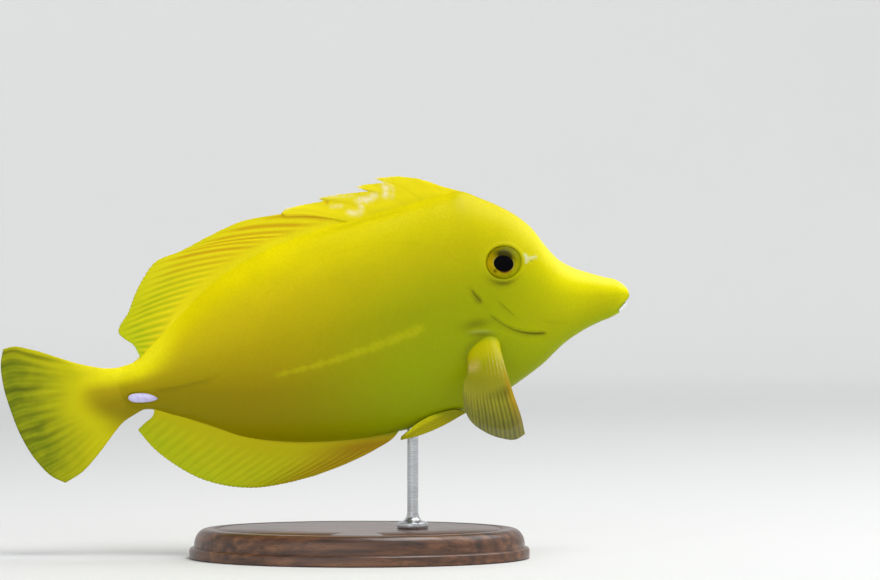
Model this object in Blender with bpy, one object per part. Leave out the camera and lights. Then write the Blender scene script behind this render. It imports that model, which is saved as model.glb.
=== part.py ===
"""A yellow tang (Zebrasoma flavescens) as a still, life-size museum model on a small display stand.

The fish is drawn in its own frame, in millimetres: x runs from the root of the tail fin towards the
snout, y to the fish's left, and z up. One flesh form is lofted and parted into head, jaw, gill covers,
trunk and tail stalk by thin cuts. The fins are thick sheets that stop just short of that form. An empty
holds the whole fish at its swimming pitch above the stand, whose underside is the ground.
"""

import math

import bmesh
import bpy
import numpy as np

MM = 0.001

# Driving dimensions, in millimetres and degrees
PITCH_DEG = 11.0
GAP = 0.3
BASE_SIZE = (92.0, 58.0, 8.0)
FIN_CLEARANCE = 12.0
LOWEST_FIN_BELOW_AXIS = 24.8
FISH_SETBACK = 68.0
ROD_X = 79.0
ROD_RADIUS = 1.5

FIN_ROOT_HALF = 1.1
FIN_MARGIN_HALF = 0.3
FIN_ROOT_DEPTH = 2.0
PELVIC_ROOT_HALF = 0.6

EYE_CENTRE = (111.6, 14.0)
EYE_RADII = (4.75, 3.6, 4.45)
EYE_PROUD = 1.0

SCALPEL_FRONT = (13.1, -3.8)
SCALPEL_BACK = (5.2, -2.7)
SCALPEL_HALF = (0.75, 1.0)
SCALPEL_PROUD = 0.55

TAIL_CUT_X = 22.0
GILL_COVER_DEPTH_Y = 5.4
BELOW_CHIN = -15.0
FAR = 60.0

# The flesh form, station by station from tail to snout:
# x and z of its top, x and z of its underside, z of the widest level, half width
STATIONS = (
    (-2.6, 4.4, -2.6, -4.9, -0.2, 1.5),
    (0.0, 5.6, 0.0, -6.1, -0.2, 2.3),
    (4.0, 6.1, 4.0, -6.6, -0.2, 3.2),
    (10.0, 7.1, 10.0, -6.8, -0.1, 4.1),
    (16.0, 10.9, 16.0, -9.0, 0.4, 5.0),
    (24.0, 16.9, 24.0, -13.0, 1.0, 6.1),
    (34.0, 23.5, 34.0, -18.6, 1.2, 7.4),
    (46.0, 28.2, 46.0, -22.3, 0.9, 8.5),
    (60.0, 31.2, 60.0, -24.6, 0.4, 9.3),
    (76.0, 32.9, 76.0, -25.5, 0.1, 9.9),
    (90.0, 34.1, 90.0, -24.1, 0.3, 10.2),
    (99.0, 35.1, 99.0, -22.3, 1.0, 10.2),
    (104.0, 35.2, 104.5, -20.8, 1.8, 9.9),
    (108.5, 32.6, 109.0, -18.9, 2.6, 9.3),
    (113.0, 29.6, 113.5, -16.8, 3.2, 8.6),
    (117.6, 25.8, 117.5, -14.7, 3.4, 7.8),
    (121.0, 21.7, 120.8, -12.5, 2.8, 7.1),
    (123.7, 16.4, 123.5, -10.8, 2.0, 6.4),
    (126.5, 12.0, 126.4, -9.4, 1.2, 5.7),
    (130.0, 9.1, 130.0, -8.0, 0.5, 4.9),
    (134.0, 6.9, 134.0, -6.9, 0.0, 4.2),
    (137.6, 5.1, 137.4, -6.2, -0.3, 3.6),
    (140.2, 4.0, 139.9, -5.4, -0.5, 3.0),
    (142.2, 2.3, 141.9, -4.0, -0.6, 2.0),
    (143.2, 0.9, 143.0, -2.3, -0.6, 1.1),
)
SNOUT_TIP = (143.5, -0.6)
BACK_KEEL = 1.12
BELLY_KEEL = 1.0
RINGS_PER_STATION = 2
POINTS_PER_SIDE = 15

# Cut between head and trunk: from the nape down the edge of the gill cover to the throat
HEAD_LINE = (
    (108.0, 50.0),
    (105.0, 36.0),
    (102.6, 24.0),
    (101.4, 14.0),
    (101.9, 8.7),
    (103.6, 4.6),
    (105.4, 1.4),
    (109.0, -2.9),
    (112.4, -5.0),
    (117.2, -6.4),
    (121.0, -8.4),
    (123.6, -13.0),
    (125.0, -30.0),
)
# Front edge of the gill cover, from its lower end up round the cheek
GILL_COVER_FRONT = (
    (116.4, -4.7),
    (112.7, -2.0),
    (110.1, 1.4),
    (108.3, 5.0),
    (107.3, 8.8),
    (105.6, 12.2),
    (103.2, 14.0),
)
# The rear edge of the lower jaw, the mouth slit running forward from it, and the foot of the front teeth
JAW_HINGE = ((132.6, -12.0), (133.6, -5.4), (135.2, -4.1))
MOUTH_SLIT = ((137.6, -3.5), (140.8, -3.1))
TOOTH_TIP = (146.0, -2.6)
TOOTH_FOOT = (139.4, -6.2)

# How far the spines bow forwards in their middle, as a share of their length
SPINE_BOW = 0.055

# Root of the spiny dorsal fin at each spine or notch, and the point of its ragged margin above it
SPINY_DORSAL = (
    (106.0, 105.6, 34.3),
    (103.8, 102.8, 35.7),
    (102.0, 99.3, 37.4),
    (100.4, 96.1, 39.3),
    (98.9, 92.9, 40.9),
    (97.4, 88.0, 42.4),
    (95.9, 81.7, 43.1),
    (94.4, 84.1, 41.4),
    (93.2, 78.4, 41.9),
    (92.2, 76.4, 41.6),
    (89.4, 79.4, 39.9),
    (85.6, 71.5, 40.6),
    (84.0, 65.8, 40.7),
    (82.0, 66.9, 39.6),
    (79.0, 61.5, 39.7),
    (77.1, 56.6, 39.6),
    (76.3, 55.2, 38.6),
)
SOFT_DORSAL_ROOT = ((75.4, 30.6), (60.0, 29.0), (43.0, 25.0), (31.9, 19.8), (20.4, 12.0), (10.6, 6.2))
SOFT_DORSAL_MARGIN = (
    (54.5, 38.1),
    (43.8, 38.4),
    (35.0, 36.3),
    (26.4, 33.7),
    (19.0, 32.0),
    (14.8, 28.0),
    (12.0, 24.3),
    (9.8, 20.6),
    (5.9, 14.8),
    (7.2, 13.1),
    (9.0, 11.4),
    (10.4, 7.6),
)
ANAL_ROOT = ((76.2, -24.2), (62.8, -23.0), (43.4, -19.6), (28.6, -13.6), (17.1, -8.0), (11.6, -5.8))
ANAL_MARGIN = (
    (74.0, -26.4),
    (68.0, -29.0),
    (60.0, -31.2),
    (50.6, -32.9),
    (42.2, -33.4),
    (34.1, -33.0),
    (26.2, -30.8),
    (20.0, -27.7),
    (14.1, -22.9),
    (9.2, -17.3),
    (6.0, -11.6),
    (7.7, -10.3),
    (11.0, -8.2),
)
TAIL_ROOT = ((8.0, 4.8), (2.0, 3.6), (0.0, 0.0), (3.0, -3.8), (9.8, -5.0))
TAIL_MARGIN = (
    (-25.6, 16.8),
    (-26.9, 13.5),
    (-27.5, 7.3),
    (-26.8, 0.2),
    (-25.3, -7.2),
    (-22.5, -14.5),
    (-18.9, -19.8),
    (-16.0, -21.9),
)
TAIL_TOP_EDGE = (
    (8.0, 4.8),
    (3.4, 5.9),
    (0.3, 6.4),
    (-3.0, 7.6),
    (-6.9, 9.3),
    (-11.0, 11.5),
    (-18.5, 15.4),
    (-23.0, 17.0),
    (-25.6, 16.8),
)
TAIL_LOWER_EDGE = (
    (9.8, -5.0),
    (7.2, -6.4),
    (5.3, -7.3),
    (2.3, -8.8),
    (-0.3, -11.0),
    (-3.3, -13.8),
    (-7.0, -17.0),
    (-10.8, -19.8),
    (-16.0, -21.9),
)

# Paired fins of one side: x, distance out from the middle plane, z
PECTORAL_ROOT = ((105.6, 7.4, -5.4), (103.4, 7.4, -6.6), (100.0, 7.2, -9.0))
PECTORAL_LEADING = (
    (105.6, 7.4, -5.4),
    (106.2, 12.0, -9.6),
    (106.6, 17.4, -15.2),
    (107.2, 22.6, -21.2),
    (107.9, 27.0, -27.0),
    (107.9, 29.6, -31.0),
)
PECTORAL_MARGIN = (
    (107.9, 29.6, -31.0),
    (105.4, 29.4, -31.9),
    (101.6, 27.4, -31.0),
    (97.6, 24.4, -28.6),
    (94.8, 21.6, -25.6),
    (93.6, 19.0, -22.0),
)
PECTORAL_TRAILING = ((100.0, 7.2, -9.0), (97.0, 11.6, -11.6), (94.6, 15.6, -16.4), (93.6, 19.0, -22.0))
PELVIC_ROOT = ((94.0, 3.2, -23.6), (91.6, 3.9, -22.4), (88.4, 4.4, -22.2))
PELVIC_LOWER = ((94.0, 3.2, -23.6), (86.0, 4.0, -26.3), (79.0, 4.3, -27.5), (75.4, 4.0, -27.6))
PELVIC_UPPER = ((88.4, 4.4, -22.2), (84.6, 4.8, -23.8), (80.0, 4.7, -25.4), (75.8, 4.2, -27.0))
PELVIC_TIP = ((75.4, 4.0, -27.6), (75.3, 4.1, -27.3), (75.8, 4.2, -27.0))

# Colour, metallic value and roughness of each part
FLESH_YELLOW = ((0.83, 0.69, 0.01), 0.0, 0.42)
FIN_YELLOW = ((0.80, 0.76, 0.02), 0.0, 0.45)
PALE_FIN = ((0.62, 0.60, 0.12), 0.0, 0.40)
EYE_DARK = ((0.03, 0.03, 0.02), 0.0, 0.08)
SCALPEL_WHITE = ((0.80, 0.76, 0.88), 0.0, 0.30)
TOOTH_WHITE = ((0.85, 0.84, 0.82), 0.0, 0.25)
STAND_WOOD = ((0.09, 0.04, 0.02), 0.0, 0.35)
ROD_STEEL = ((0.62, 0.62, 0.62), 1.0, 0.28)


def clear_scene():
    for thing in list(bpy.data.objects):
        bpy.data.objects.remove(thing, do_unlink=True)


def material(name, finish):
    colour, metallic, roughness = finish
    made = bpy.data.materials.new(name)
    made.use_nodes = True
    shader = made.node_tree.nodes["Principled BSDF"]
    shader.inputs["Base Color"].default_value = (*colour, 1.0)
    shader.inputs["Metallic"].default_value = metallic
    shader.inputs["Roughness"].default_value = roughness
    return made


def add_object(name, points, faces, finish, parent=None):
    """A mesh object from points in millimetres, with its faces turned outwards."""
    mesh = bpy.data.meshes.new(name)
    mesh.from_pydata([tuple(MM * c for c in p) for p in points], [], faces)
    tidy = bmesh.new()
    tidy.from_mesh(mesh)
    bmesh.ops.recalc_face_normals(tidy, faces=tidy.faces)
    tidy.to_mesh(mesh)
    tidy.free()
    thing = bpy.data.objects.new(name, mesh)
    bpy.context.scene.collection.objects.link(thing)
    mesh.materials.append(material(name, finish))
    mesh.shade_smooth()
    mesh.set_sharp_from_angle(angle=math.radians(40))
    thing.parent = parent
    return thing


def add_cutter(name, points, faces, parent):
    cutter = add_object(name, points, faces, STAND_WOOD, parent)
    cutter.hide_render = True
    cutter.display_type = "WIRE"
    return cutter


def combine(thing, other, operation):
    step = thing.modifiers.new(f"{operation.lower()} {other.name}", "BOOLEAN")
    step.operation = operation
    step.object = other
    step.solver = "EXACT"


def curve_through(points):
    """A smooth curve through the points, as a function of 0..1 along its length."""
    points = np.asarray(points, float)
    steps = np.linalg.norm(np.diff(points, axis=0), axis=1)
    knots = np.concatenate([[0.0], np.cumsum(steps)]) / steps.sum()
    slopes = np.gradient(points, knots, axis=0)

    def at(along):
        along = np.atleast_1d(along)
        i = np.clip(np.searchsorted(knots, along, side="right") - 1, 0, len(knots) - 2)
        span = (knots[i + 1] - knots[i])[:, None]
        t = (along[:, None] - knots[i][:, None]) / span
        start = (1 + 2 * t) * (1 - t) ** 2 * points[i] + t * (1 - t) ** 2 * span * slopes[i]
        end = t * t * (3 - 2 * t) * points[i + 1] + t * t * (t - 1) * span * slopes[i + 1]
        return start + end

    return at


def ring(station):
    """One closed section of the flesh, from its underside up the left side and down the right."""
    x_top, z_top, x_under, z_under, z_wide, half_width = station
    angle = np.linspace(-math.pi / 2, math.pi / 2, POINTS_PER_SIDE)
    rise = np.where(angle > 0, z_top - z_wide, z_wide - z_under)
    z = z_wide + rise * np.sin(angle)
    x = x_under + (x_top - x_under) * (z - z_under) / (z_top - z_under)
    keel = np.where(angle > 0, BACK_KEEL, BELLY_KEEL)
    y = half_width * np.maximum(np.cos(angle), 0.0) ** keel
    left = np.column_stack([x, y, z])
    right = left[-2:0:-1] * (1, -1, 1)
    return np.concatenate([left, right])


def flesh_mesh():
    """Points and faces of the whole flesh form, from the tail stalk's flat end to the snout's tip."""
    stations = curve_through(STATIONS)(np.linspace(0, 1, RINGS_PER_STATION * (len(STATIONS) - 1) + 1))
    rings = [ring(station) for station in stations]
    size = len(rings[0])
    points = np.concatenate(rings + [[(SNOUT_TIP[0], 0.0, SNOUT_TIP[1])]])
    faces = [tuple(range(size))]
    for row in range(len(rings) - 1):
        for i in range(size):
            j = (i + 1) % size
            low = row * size
            faces.append((low + i, low + j, low + size + j, low + size + i))
    last = (len(rings) - 1) * size
    faces += [(last + i, last + (i + 1) % size, len(points) - 1) for i in range(size)]
    return points, faces


def flesh_half_width(x, z):
    """Distance from the middle plane to the flesh's surface at this height of the section at x."""
    table = np.asarray(STATIONS)
    _, z_top, _, z_under, z_wide, half_width = (np.interp(x, table[:, 0], column) for column in table.T)
    rise = z_top - z_wide if z > z_wide else z_wide - z_under
    keel = BACK_KEEL if z > z_wide else BELLY_KEEL
    return half_width * math.sqrt(1 - ((z - z_wide) / rise) ** 2) ** keel


def grown_flesh(parent):
    """The flesh form swollen by the gap, which cuts back whatever stands on the flesh."""
    cutter = add_cutter("grown_flesh", *flesh_mesh(), parent)
    swollen = bmesh.new()
    swollen.from_mesh(cutter.data)
    swollen.normal_update()
    for vertex in swollen.verts:
        vertex.co += vertex.normal * GAP * MM
    swollen.to_mesh(cutter.data)
    swollen.free()
    return cutter


def moved_aside(line, distance, closed=False):
    """The line of x, z points moved by this distance square to itself, to its left, corners mitred."""
    line = np.asarray(line, float)
    runs = np.diff(line, axis=0, append=line[:1])
    ahead = np.column_stack([-runs[:, 1], runs[:, 0]]) / np.linalg.norm(runs, axis=1)[:, None]
    behind = np.roll(ahead, 1, axis=0)
    if not closed:
        behind[0] = ahead[0]
        ahead[-1] = behind[-1]
    mitre = 1 + (ahead * behind).sum(axis=1)
    return line + distance * (ahead + behind) / mitre[:, None]


def prism(name, outline, y_from, y_to, parent):
    """A cutter: an outline in x and z, drawn out sideways between two y levels."""
    count = len(outline)
    points = [(x, y, z) for y in (y_from, y_to) for x, z in outline]
    faces = [tuple(range(count)), tuple(range(2 * count - 1, count - 1, -1))]
    faces += [(i, (i + 1) % count, count + (i + 1) % count, count + i) for i in range(count)]
    return add_cutter(name, points, faces, parent)


def faces_between_poles(rows, columns):
    """Faces of a closed form whose first two points are its poles, with rings of points between them."""
    last = 2 + (rows - 2) * columns
    faces = []
    for column in range(columns):
        after = (column + 1) % columns
        faces.append((0, 2 + column, 2 + after))
        faces.append((1, last + after, last + column))
        for row in range(rows - 2):
            low = 2 + row * columns
            faces.append((low + column, low + columns + column, low + columns + after, low + after))
    return faces


def ellipsoid(centre, radii, rows=9, columns=18):
    """Points and faces of an ellipsoid with its poles along y."""
    points = [np.add(centre, (0, -radii[1], 0)), np.add(centre, (0, radii[1], 0))]
    for row in range(1, rows):
        tilt = math.pi * row / rows
        for column in range(columns):
            turn = 2 * math.pi * column / columns
            unit = (math.sin(tilt) * math.cos(turn), -math.cos(tilt), math.sin(tilt) * math.sin(turn))
            points.append(np.add(centre, np.multiply(radii, unit)))
    return points, faces_between_poles(rows, columns)


def eye_shape(side, grow=0.0):
    x, z = EYE_CENTRE
    y = flesh_half_width(x, z) + EYE_PROUD - EYE_RADII[1]
    return ellipsoid((x, side * y, z), np.add(EYE_RADII, grow))


def scalpel_shape(side, grow=0.0, rows=10, columns=10):
    """The folded scalpel on the tail stalk: blunt behind and drawn out to a point in front."""
    back = np.array([SCALPEL_BACK[0] - grow, SCALPEL_BACK[1]])
    front = np.array([SCALPEL_FRONT[0] + grow, SCALPEL_FRONT[1]])
    half_y, half_z = np.add(SCALPEL_HALF, grow)
    middle_x, middle_z = (back + front) / 2
    y = flesh_half_width(middle_x, middle_z) + SCALPEL_PROUD - SCALPEL_HALF[0]
    points = [(back[0], side * y, back[1]), (front[0], side * y, front[1])]
    for row in range(1, rows):
        along = row / rows
        size = math.sqrt(1 - (1 - 2 * along) ** 2) if along < 0.5 else 1 - (2 * along - 1) ** 1.8
        x, z = back + along * (front - back)
        for column in range(columns):
            turn = 2 * math.pi * column / columns
            points.append(
                (x, side * (y + size * half_y * math.cos(turn)), z + size * half_z * math.sin(turn))
            )
    return points, faces_between_poles(rows, columns)


def add_flesh(name, region, pose):
    """The part of the flesh form that lies inside a region's prism."""
    piece = add_object(name, *flesh_mesh(), FLESH_YELLOW, pose)
    combine(piece, region, "INTERSECT")
    return piece


def make_trunk_and_tail_stalk(pose):
    head_line = [tuple(p) for p in moved_aside(HEAD_LINE, -GAP / 2)]
    rear = TAIL_CUT_X + GAP / 2
    upper, lower = HEAD_LINE[0][0], HEAD_LINE[-1][0]
    trunk_outline = [(rear, -FAR), (rear, FAR), (upper, FAR), *head_line, (lower, -FAR)]
    add_flesh("trunk", prism("trunk_region", trunk_outline, -FAR, FAR, pose), pose)
    front = TAIL_CUT_X - GAP / 2
    stalk_outline = [(-FAR, -FAR), (front, -FAR), (front, FAR), (-FAR, FAR)]
    stalk = add_flesh("tail_stalk", prism("stalk_region", stalk_outline, -FAR, FAR, pose), pose)
    for side, word in ((1, "left"), (-1, "right")):
        groove = add_cutter(f"scalpel_groove_{word}", *scalpel_shape(side, GAP), pose)
        combine(stalk, groove, "DIFFERENCE")
        add_object(f"tail_spine_{word}", *scalpel_shape(side), SCALPEL_WHITE, pose)


def gill_cover_outline(grow):
    """The cover's outline, whose rear edge is the head line, moved outwards by grow."""
    rear = moved_aside(HEAD_LINE, GAP / 2)[3:10]
    outline = np.concatenate([rear, GILL_COVER_FRONT])
    return [tuple(p) for p in moved_aside(outline, -grow, closed=True)]


def make_mouth(head, pose):
    """The lower jaw and the row of teeth at its tip, under the slit that parts them from the head."""
    top = [(x, z - GAP / 2) for x, z in MOUTH_SLIT]
    hinge = [tuple(p) for p in moved_aside(JAW_HINGE, -GAP)]
    jaw = hinge + top + [TOOTH_FOOT, (TOOTH_FOOT[0], BELOW_CHIN)]
    add_flesh("lower_jaw", prism("jaw_region", jaw, -FAR, FAR, pose), pose)
    teeth = [(TOOTH_FOOT[0] + GAP, TOOTH_FOOT[1]), (top[-1][0] + GAP, top[-1][1])]
    teeth += [(TOOTH_TIP[0], TOOTH_TIP[1] - GAP / 2), (TOOTH_TIP[0], TOOTH_FOOT[1])]
    row = add_flesh("teeth", prism("teeth_region", teeth, -FAR, FAR, pose), pose)
    row.data.materials[0] = material("teeth", TOOTH_WHITE)
    mouth = list(JAW_HINGE) + [(x, z + GAP / 2) for x, z in (*MOUTH_SLIT, TOOTH_TIP)]
    mouth.append((TOOTH_TIP[0], BELOW_CHIN))
    combine(head, prism("mouth_cut", mouth, -FAR, FAR, pose), "DIFFERENCE")


def make_gill_cover(head, side, word, pose):
    inner, outer = sorted((side * GILL_COVER_DEPTH_Y, side * FAR))
    cover = prism(f"gill_cover_region_{word}", gill_cover_outline(0.0), inner, outer, pose)
    add_flesh(f"gill_cover_{word}", cover, pose)
    inner, outer = sorted((side * (GILL_COVER_DEPTH_Y - GAP), side * FAR))
    seat = prism(f"gill_cover_seat_{word}", gill_cover_outline(GAP), inner, outer, pose)
    combine(head, seat, "DIFFERENCE")


def make_eye(head, side, word, pose):
    socket = add_cutter(f"eye_socket_{word}", *eye_shape(side, GAP), pose)
    combine(head, socket, "DIFFERENCE")
    add_object(f"eye_{word}", *eye_shape(side), EYE_DARK, pose)


def make_head(pose):
    head_line = [tuple(p) for p in moved_aside(HEAD_LINE, GAP / 2)]
    ahead = 160.0
    outline = head_line + [(HEAD_LINE[-1][0], -FAR), (ahead, -FAR), (ahead, FAR), (HEAD_LINE[0][0], FAR)]
    head = add_flesh("head", prism("head_region", outline, -FAR, FAR, pose), pose)
    make_mouth(head, pose)
    for side, word in ((1, "left"), (-1, "right")):
        make_gill_cover(head, side, word, pose)
        make_eye(head, side, word, pose)


def sheet_between(root, margin, first, last, rows, columns):
    """A grid of points filling four edge curves: rows run from the root to the margin."""
    s = np.linspace(0, 1, rows)
    t = np.linspace(0, 1, columns)
    down, across = s[:, None, None], t[None, :, None]
    root, margin, first, last = root(t), margin(t), first(s), last(s)
    edges = (1 - down) * root[None] + down * margin[None]
    sides = (1 - across) * first[:, None] + across * last[:, None]
    corners = (1 - down) * ((1 - across) * root[0] + across * root[-1])
    corners = corners + down * ((1 - across) * margin[0] + across * margin[-1])
    return edges + sides - corners


def thick_sheet(grid, root_half, margin_half):
    """Points and faces of a closed sheet about a grid, thick at its root and thin at its margin."""
    rows, columns, _ = grid.shape
    normals = np.cross(np.gradient(grid, axis=0), np.gradient(grid, axis=1))
    length = np.linalg.norm(normals, axis=2, keepdims=True)
    normals = normals / np.maximum(length, 1e-9)
    if abs(grid[..., 1]).max() == 0:
        normals[:] = (0.0, 1.0, 0.0)
    taper = np.linspace(0, 1, rows)[:, None, None] ** 0.7
    offset = normals * (root_half + (margin_half - root_half) * taper)
    points = np.concatenate([(grid + offset).reshape(-1, 3), (grid - offset).reshape(-1, 3)])
    other = rows * columns
    faces = []
    for r in range(rows - 1):
        for c in range(columns - 1):
            a = r * columns + c
            quad = (a, a + 1, a + columns + 1, a + columns)
            faces.append(quad)
            faces.append(tuple(other + i for i in quad[::-1]))
    rim = [(0, c) for c in range(columns)] + [(r, columns - 1) for r in range(1, rows)]
    rim += [(rows - 1, c) for c in range(columns - 2, -1, -1)] + [(r, 0) for r in range(rows - 2, 0, -1)]
    rim = [r * columns + c for r, c in rim]
    faces += [(rim[i - 1], rim[i], other + rim[i], other + rim[i - 1]) for i in range(len(rim))]
    return points, faces


def upright(points):
    """Points of the middle plane: x and z with y at zero."""
    return [(x, 0.0, z) for x, z in points]


def add_fin(name, grid, flesh, pose, finish=FIN_YELLOW, root_half=FIN_ROOT_HALF):
    fin = add_object(name, *thick_sheet(grid, root_half, FIN_MARGIN_HALF), finish, pose)
    combine(fin, flesh, "DIFFERENCE")


def straight(start, end):
    return curve_through([start, end])


def make_spiny_dorsal(flesh, pose):
    table = np.asarray(STATIONS)
    roots = [(x, 0.0, np.interp(x, table[:, 0], table[:, 1]) - FIN_ROOT_DEPTH) for x, _, _ in SPINY_DORSAL]
    margin = [(x, 0.0, z) for _, x, z in SPINY_DORSAL]
    steps = np.linspace(0, 1, 4)[:, None, None]
    lean = np.array(margin) - np.array(roots)
    forward = np.column_stack([lean[:, 2], 0 * lean[:, 1], -lean[:, 0]])
    grid = np.array(roots)[None] + steps * lean[None] + SPINE_BOW * 4 * steps * (1 - steps) * forward[None]
    add_fin("dorsal_fin_spiny", grid, flesh, pose)


def make_median_fin(name, root, margin, rows, columns, flesh, pose):
    root, margin = upright(root), upright(margin)
    first, last = straight(root[0], margin[0]), straight(root[-1], margin[-1])
    grid = sheet_between(curve_through(root), curve_through(margin), first, last, rows, columns)
    grid[..., 1] = 0.0
    add_fin(name, grid, flesh, pose)


def make_tail_fin(flesh, pose):
    edges = [curve_through(upright(e)) for e in (TAIL_ROOT, TAIL_MARGIN, TAIL_TOP_EDGE, TAIL_LOWER_EDGE)]
    grid = sheet_between(*edges, rows=8, columns=20)
    grid[..., 1] = 0.0
    add_fin("tail_fin", grid, flesh, pose)


def make_paired_fins(name, edges, rows, columns, flesh, pose, root_half, finish):
    for side, word in ((1, "left"), (-1, "right")):
        curves = [curve_through([(x, side * y, z) for x, y, z in edge]) for edge in edges]
        grid = sheet_between(*curves, rows=rows, columns=columns)
        add_fin(f"{name}_{word}", grid, flesh, pose, finish, root_half)


def make_fins(flesh, pose):
    make_spiny_dorsal(flesh, pose)
    make_median_fin("dorsal_fin_soft", SOFT_DORSAL_ROOT, SOFT_DORSAL_MARGIN, 5, 30, flesh, pose)
    make_median_fin("anal_fin", ANAL_ROOT, ANAL_MARGIN, 5, 26, flesh, pose)
    make_tail_fin(flesh, pose)
    pectoral = (PECTORAL_ROOT, PECTORAL_MARGIN, PECTORAL_LEADING, PECTORAL_TRAILING)
    make_paired_fins("pectoral_fin", pectoral, 8, 11, flesh, pose, FIN_ROOT_HALF, PALE_FIN)
    pelvic = (PELVIC_ROOT, PELVIC_TIP, PELVIC_LOWER, PELVIC_UPPER)
    make_paired_fins("pelvic_fin", pelvic, 9, 5, flesh, pose, PELVIC_ROOT_HALF, FIN_YELLOW)


def turned(name, profile, stretch, place, finish, columns=40):
    """A turned solid from radius and height pairs, stretched along x and y into an oval if need be."""
    stretch_x, stretch_y = stretch
    points = []
    for radius, height in profile:
        for column in range(columns):
            turn = 2 * math.pi * column / columns
            points.append((stretch_x * radius * math.cos(turn), stretch_y * radius * math.sin(turn), height))
    faces = [tuple(range(columns)), tuple(range((len(profile) - 1) * columns, len(profile) * columns))]
    for row in range(len(profile) - 1):
        for column in range(columns):
            after = (column + 1) % columns
            low = row * columns
            faces.append((low + column, low + after, low + columns + after, low + columns + column))
    thing = add_object(name, points, faces, finish)
    thing.location = [MM * c for c in place]
    return thing


def make_stand(pose, flesh):
    length, width, height = BASE_SIZE
    edge = [(1.0, 0.0), (1.0, 0.55), (0.985, 0.8), (0.955, 0.94), (0.92, 1.0)]
    profile = [(radius, height * rise) for radius, rise in edge]
    turned("stand_base", profile, (length / 2, width / 2), (0, 0, 0), STAND_WOOD)
    pitch = math.radians(PITCH_DEG)
    belly = np.interp(ROD_X, [s[2] for s in STATIONS], [s[3] for s in STATIONS])
    rod_x = ROD_X * math.cos(pitch) - belly * math.sin(pitch) - FISH_SETBACK
    foot = height + GAP
    top = pose.location.z / MM
    profile = [(4.2, foot), (4.2, foot + 1.4), (3.4, foot + 2.2), (2.2, foot + 2.8)]
    profile += [(ROD_RADIUS, foot + 4.2), (ROD_RADIUS, top)]
    rod = turned("stand_rod", profile, (1, 1), (rod_x, 0, 0), ROD_STEEL, columns=16)
    combine(rod, flesh, "DIFFERENCE")


def main():
    clear_scene()
    pose = bpy.data.objects.new("swimming_pose", None)
    bpy.context.scene.collection.objects.link(pose)
    lift = BASE_SIZE[2] + FIN_CLEARANCE + LOWEST_FIN_BELOW_AXIS
    pose.location = (-FISH_SETBACK * MM, 0.0, lift * MM)
    pose.rotation_euler = (0.0, -math.radians(PITCH_DEG), 0.0)
    flesh = grown_flesh(pose)
    make_trunk_and_tail_stalk(pose)
    make_head(pose)
    make_fins(flesh, pose)
    make_stand(pose, flesh)


main()
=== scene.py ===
"""Looks of the yellow tang museum model: skin, scales, fins, eyes, teeth, tail spines, stand and studio.

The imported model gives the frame. The fish is drawn in its own frame, as its solids are: millimetres, with
x from the root of the tail fin towards the snout, y to the fish's left and z up. to_world() sets it above
the stand at its swimming pitch, in metres.
"""

import math

import bmesh
import bpy
import numpy as np
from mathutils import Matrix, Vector


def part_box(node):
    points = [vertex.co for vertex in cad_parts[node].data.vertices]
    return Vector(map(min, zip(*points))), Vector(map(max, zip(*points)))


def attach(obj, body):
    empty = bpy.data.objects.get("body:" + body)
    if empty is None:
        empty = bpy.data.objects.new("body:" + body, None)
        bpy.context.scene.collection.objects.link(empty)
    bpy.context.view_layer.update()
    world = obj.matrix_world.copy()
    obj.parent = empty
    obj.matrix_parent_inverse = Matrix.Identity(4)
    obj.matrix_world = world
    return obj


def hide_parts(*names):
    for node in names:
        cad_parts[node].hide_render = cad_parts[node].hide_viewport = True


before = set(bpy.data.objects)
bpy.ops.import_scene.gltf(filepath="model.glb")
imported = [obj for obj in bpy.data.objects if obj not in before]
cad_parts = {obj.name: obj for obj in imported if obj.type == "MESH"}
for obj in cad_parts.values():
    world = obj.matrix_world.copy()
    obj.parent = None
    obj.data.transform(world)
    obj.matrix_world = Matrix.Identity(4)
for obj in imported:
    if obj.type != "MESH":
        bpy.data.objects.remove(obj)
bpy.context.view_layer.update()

MM = 0.001
SIDES = ((1, "left"), (-1, "right"))
CREASE_ANGLE = math.radians(50)

# Place of the fish above the stand
PITCH = math.radians(11.0)
FISH_SETBACK = 68.0
FIN_CLEARANCE = 12.0
LOWEST_FIN_BELOW_AXIS = 24.8
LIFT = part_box("stand_base")[1].z / MM + FIN_CLEARANCE + LOWEST_FIN_BELOW_AXIS

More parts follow.
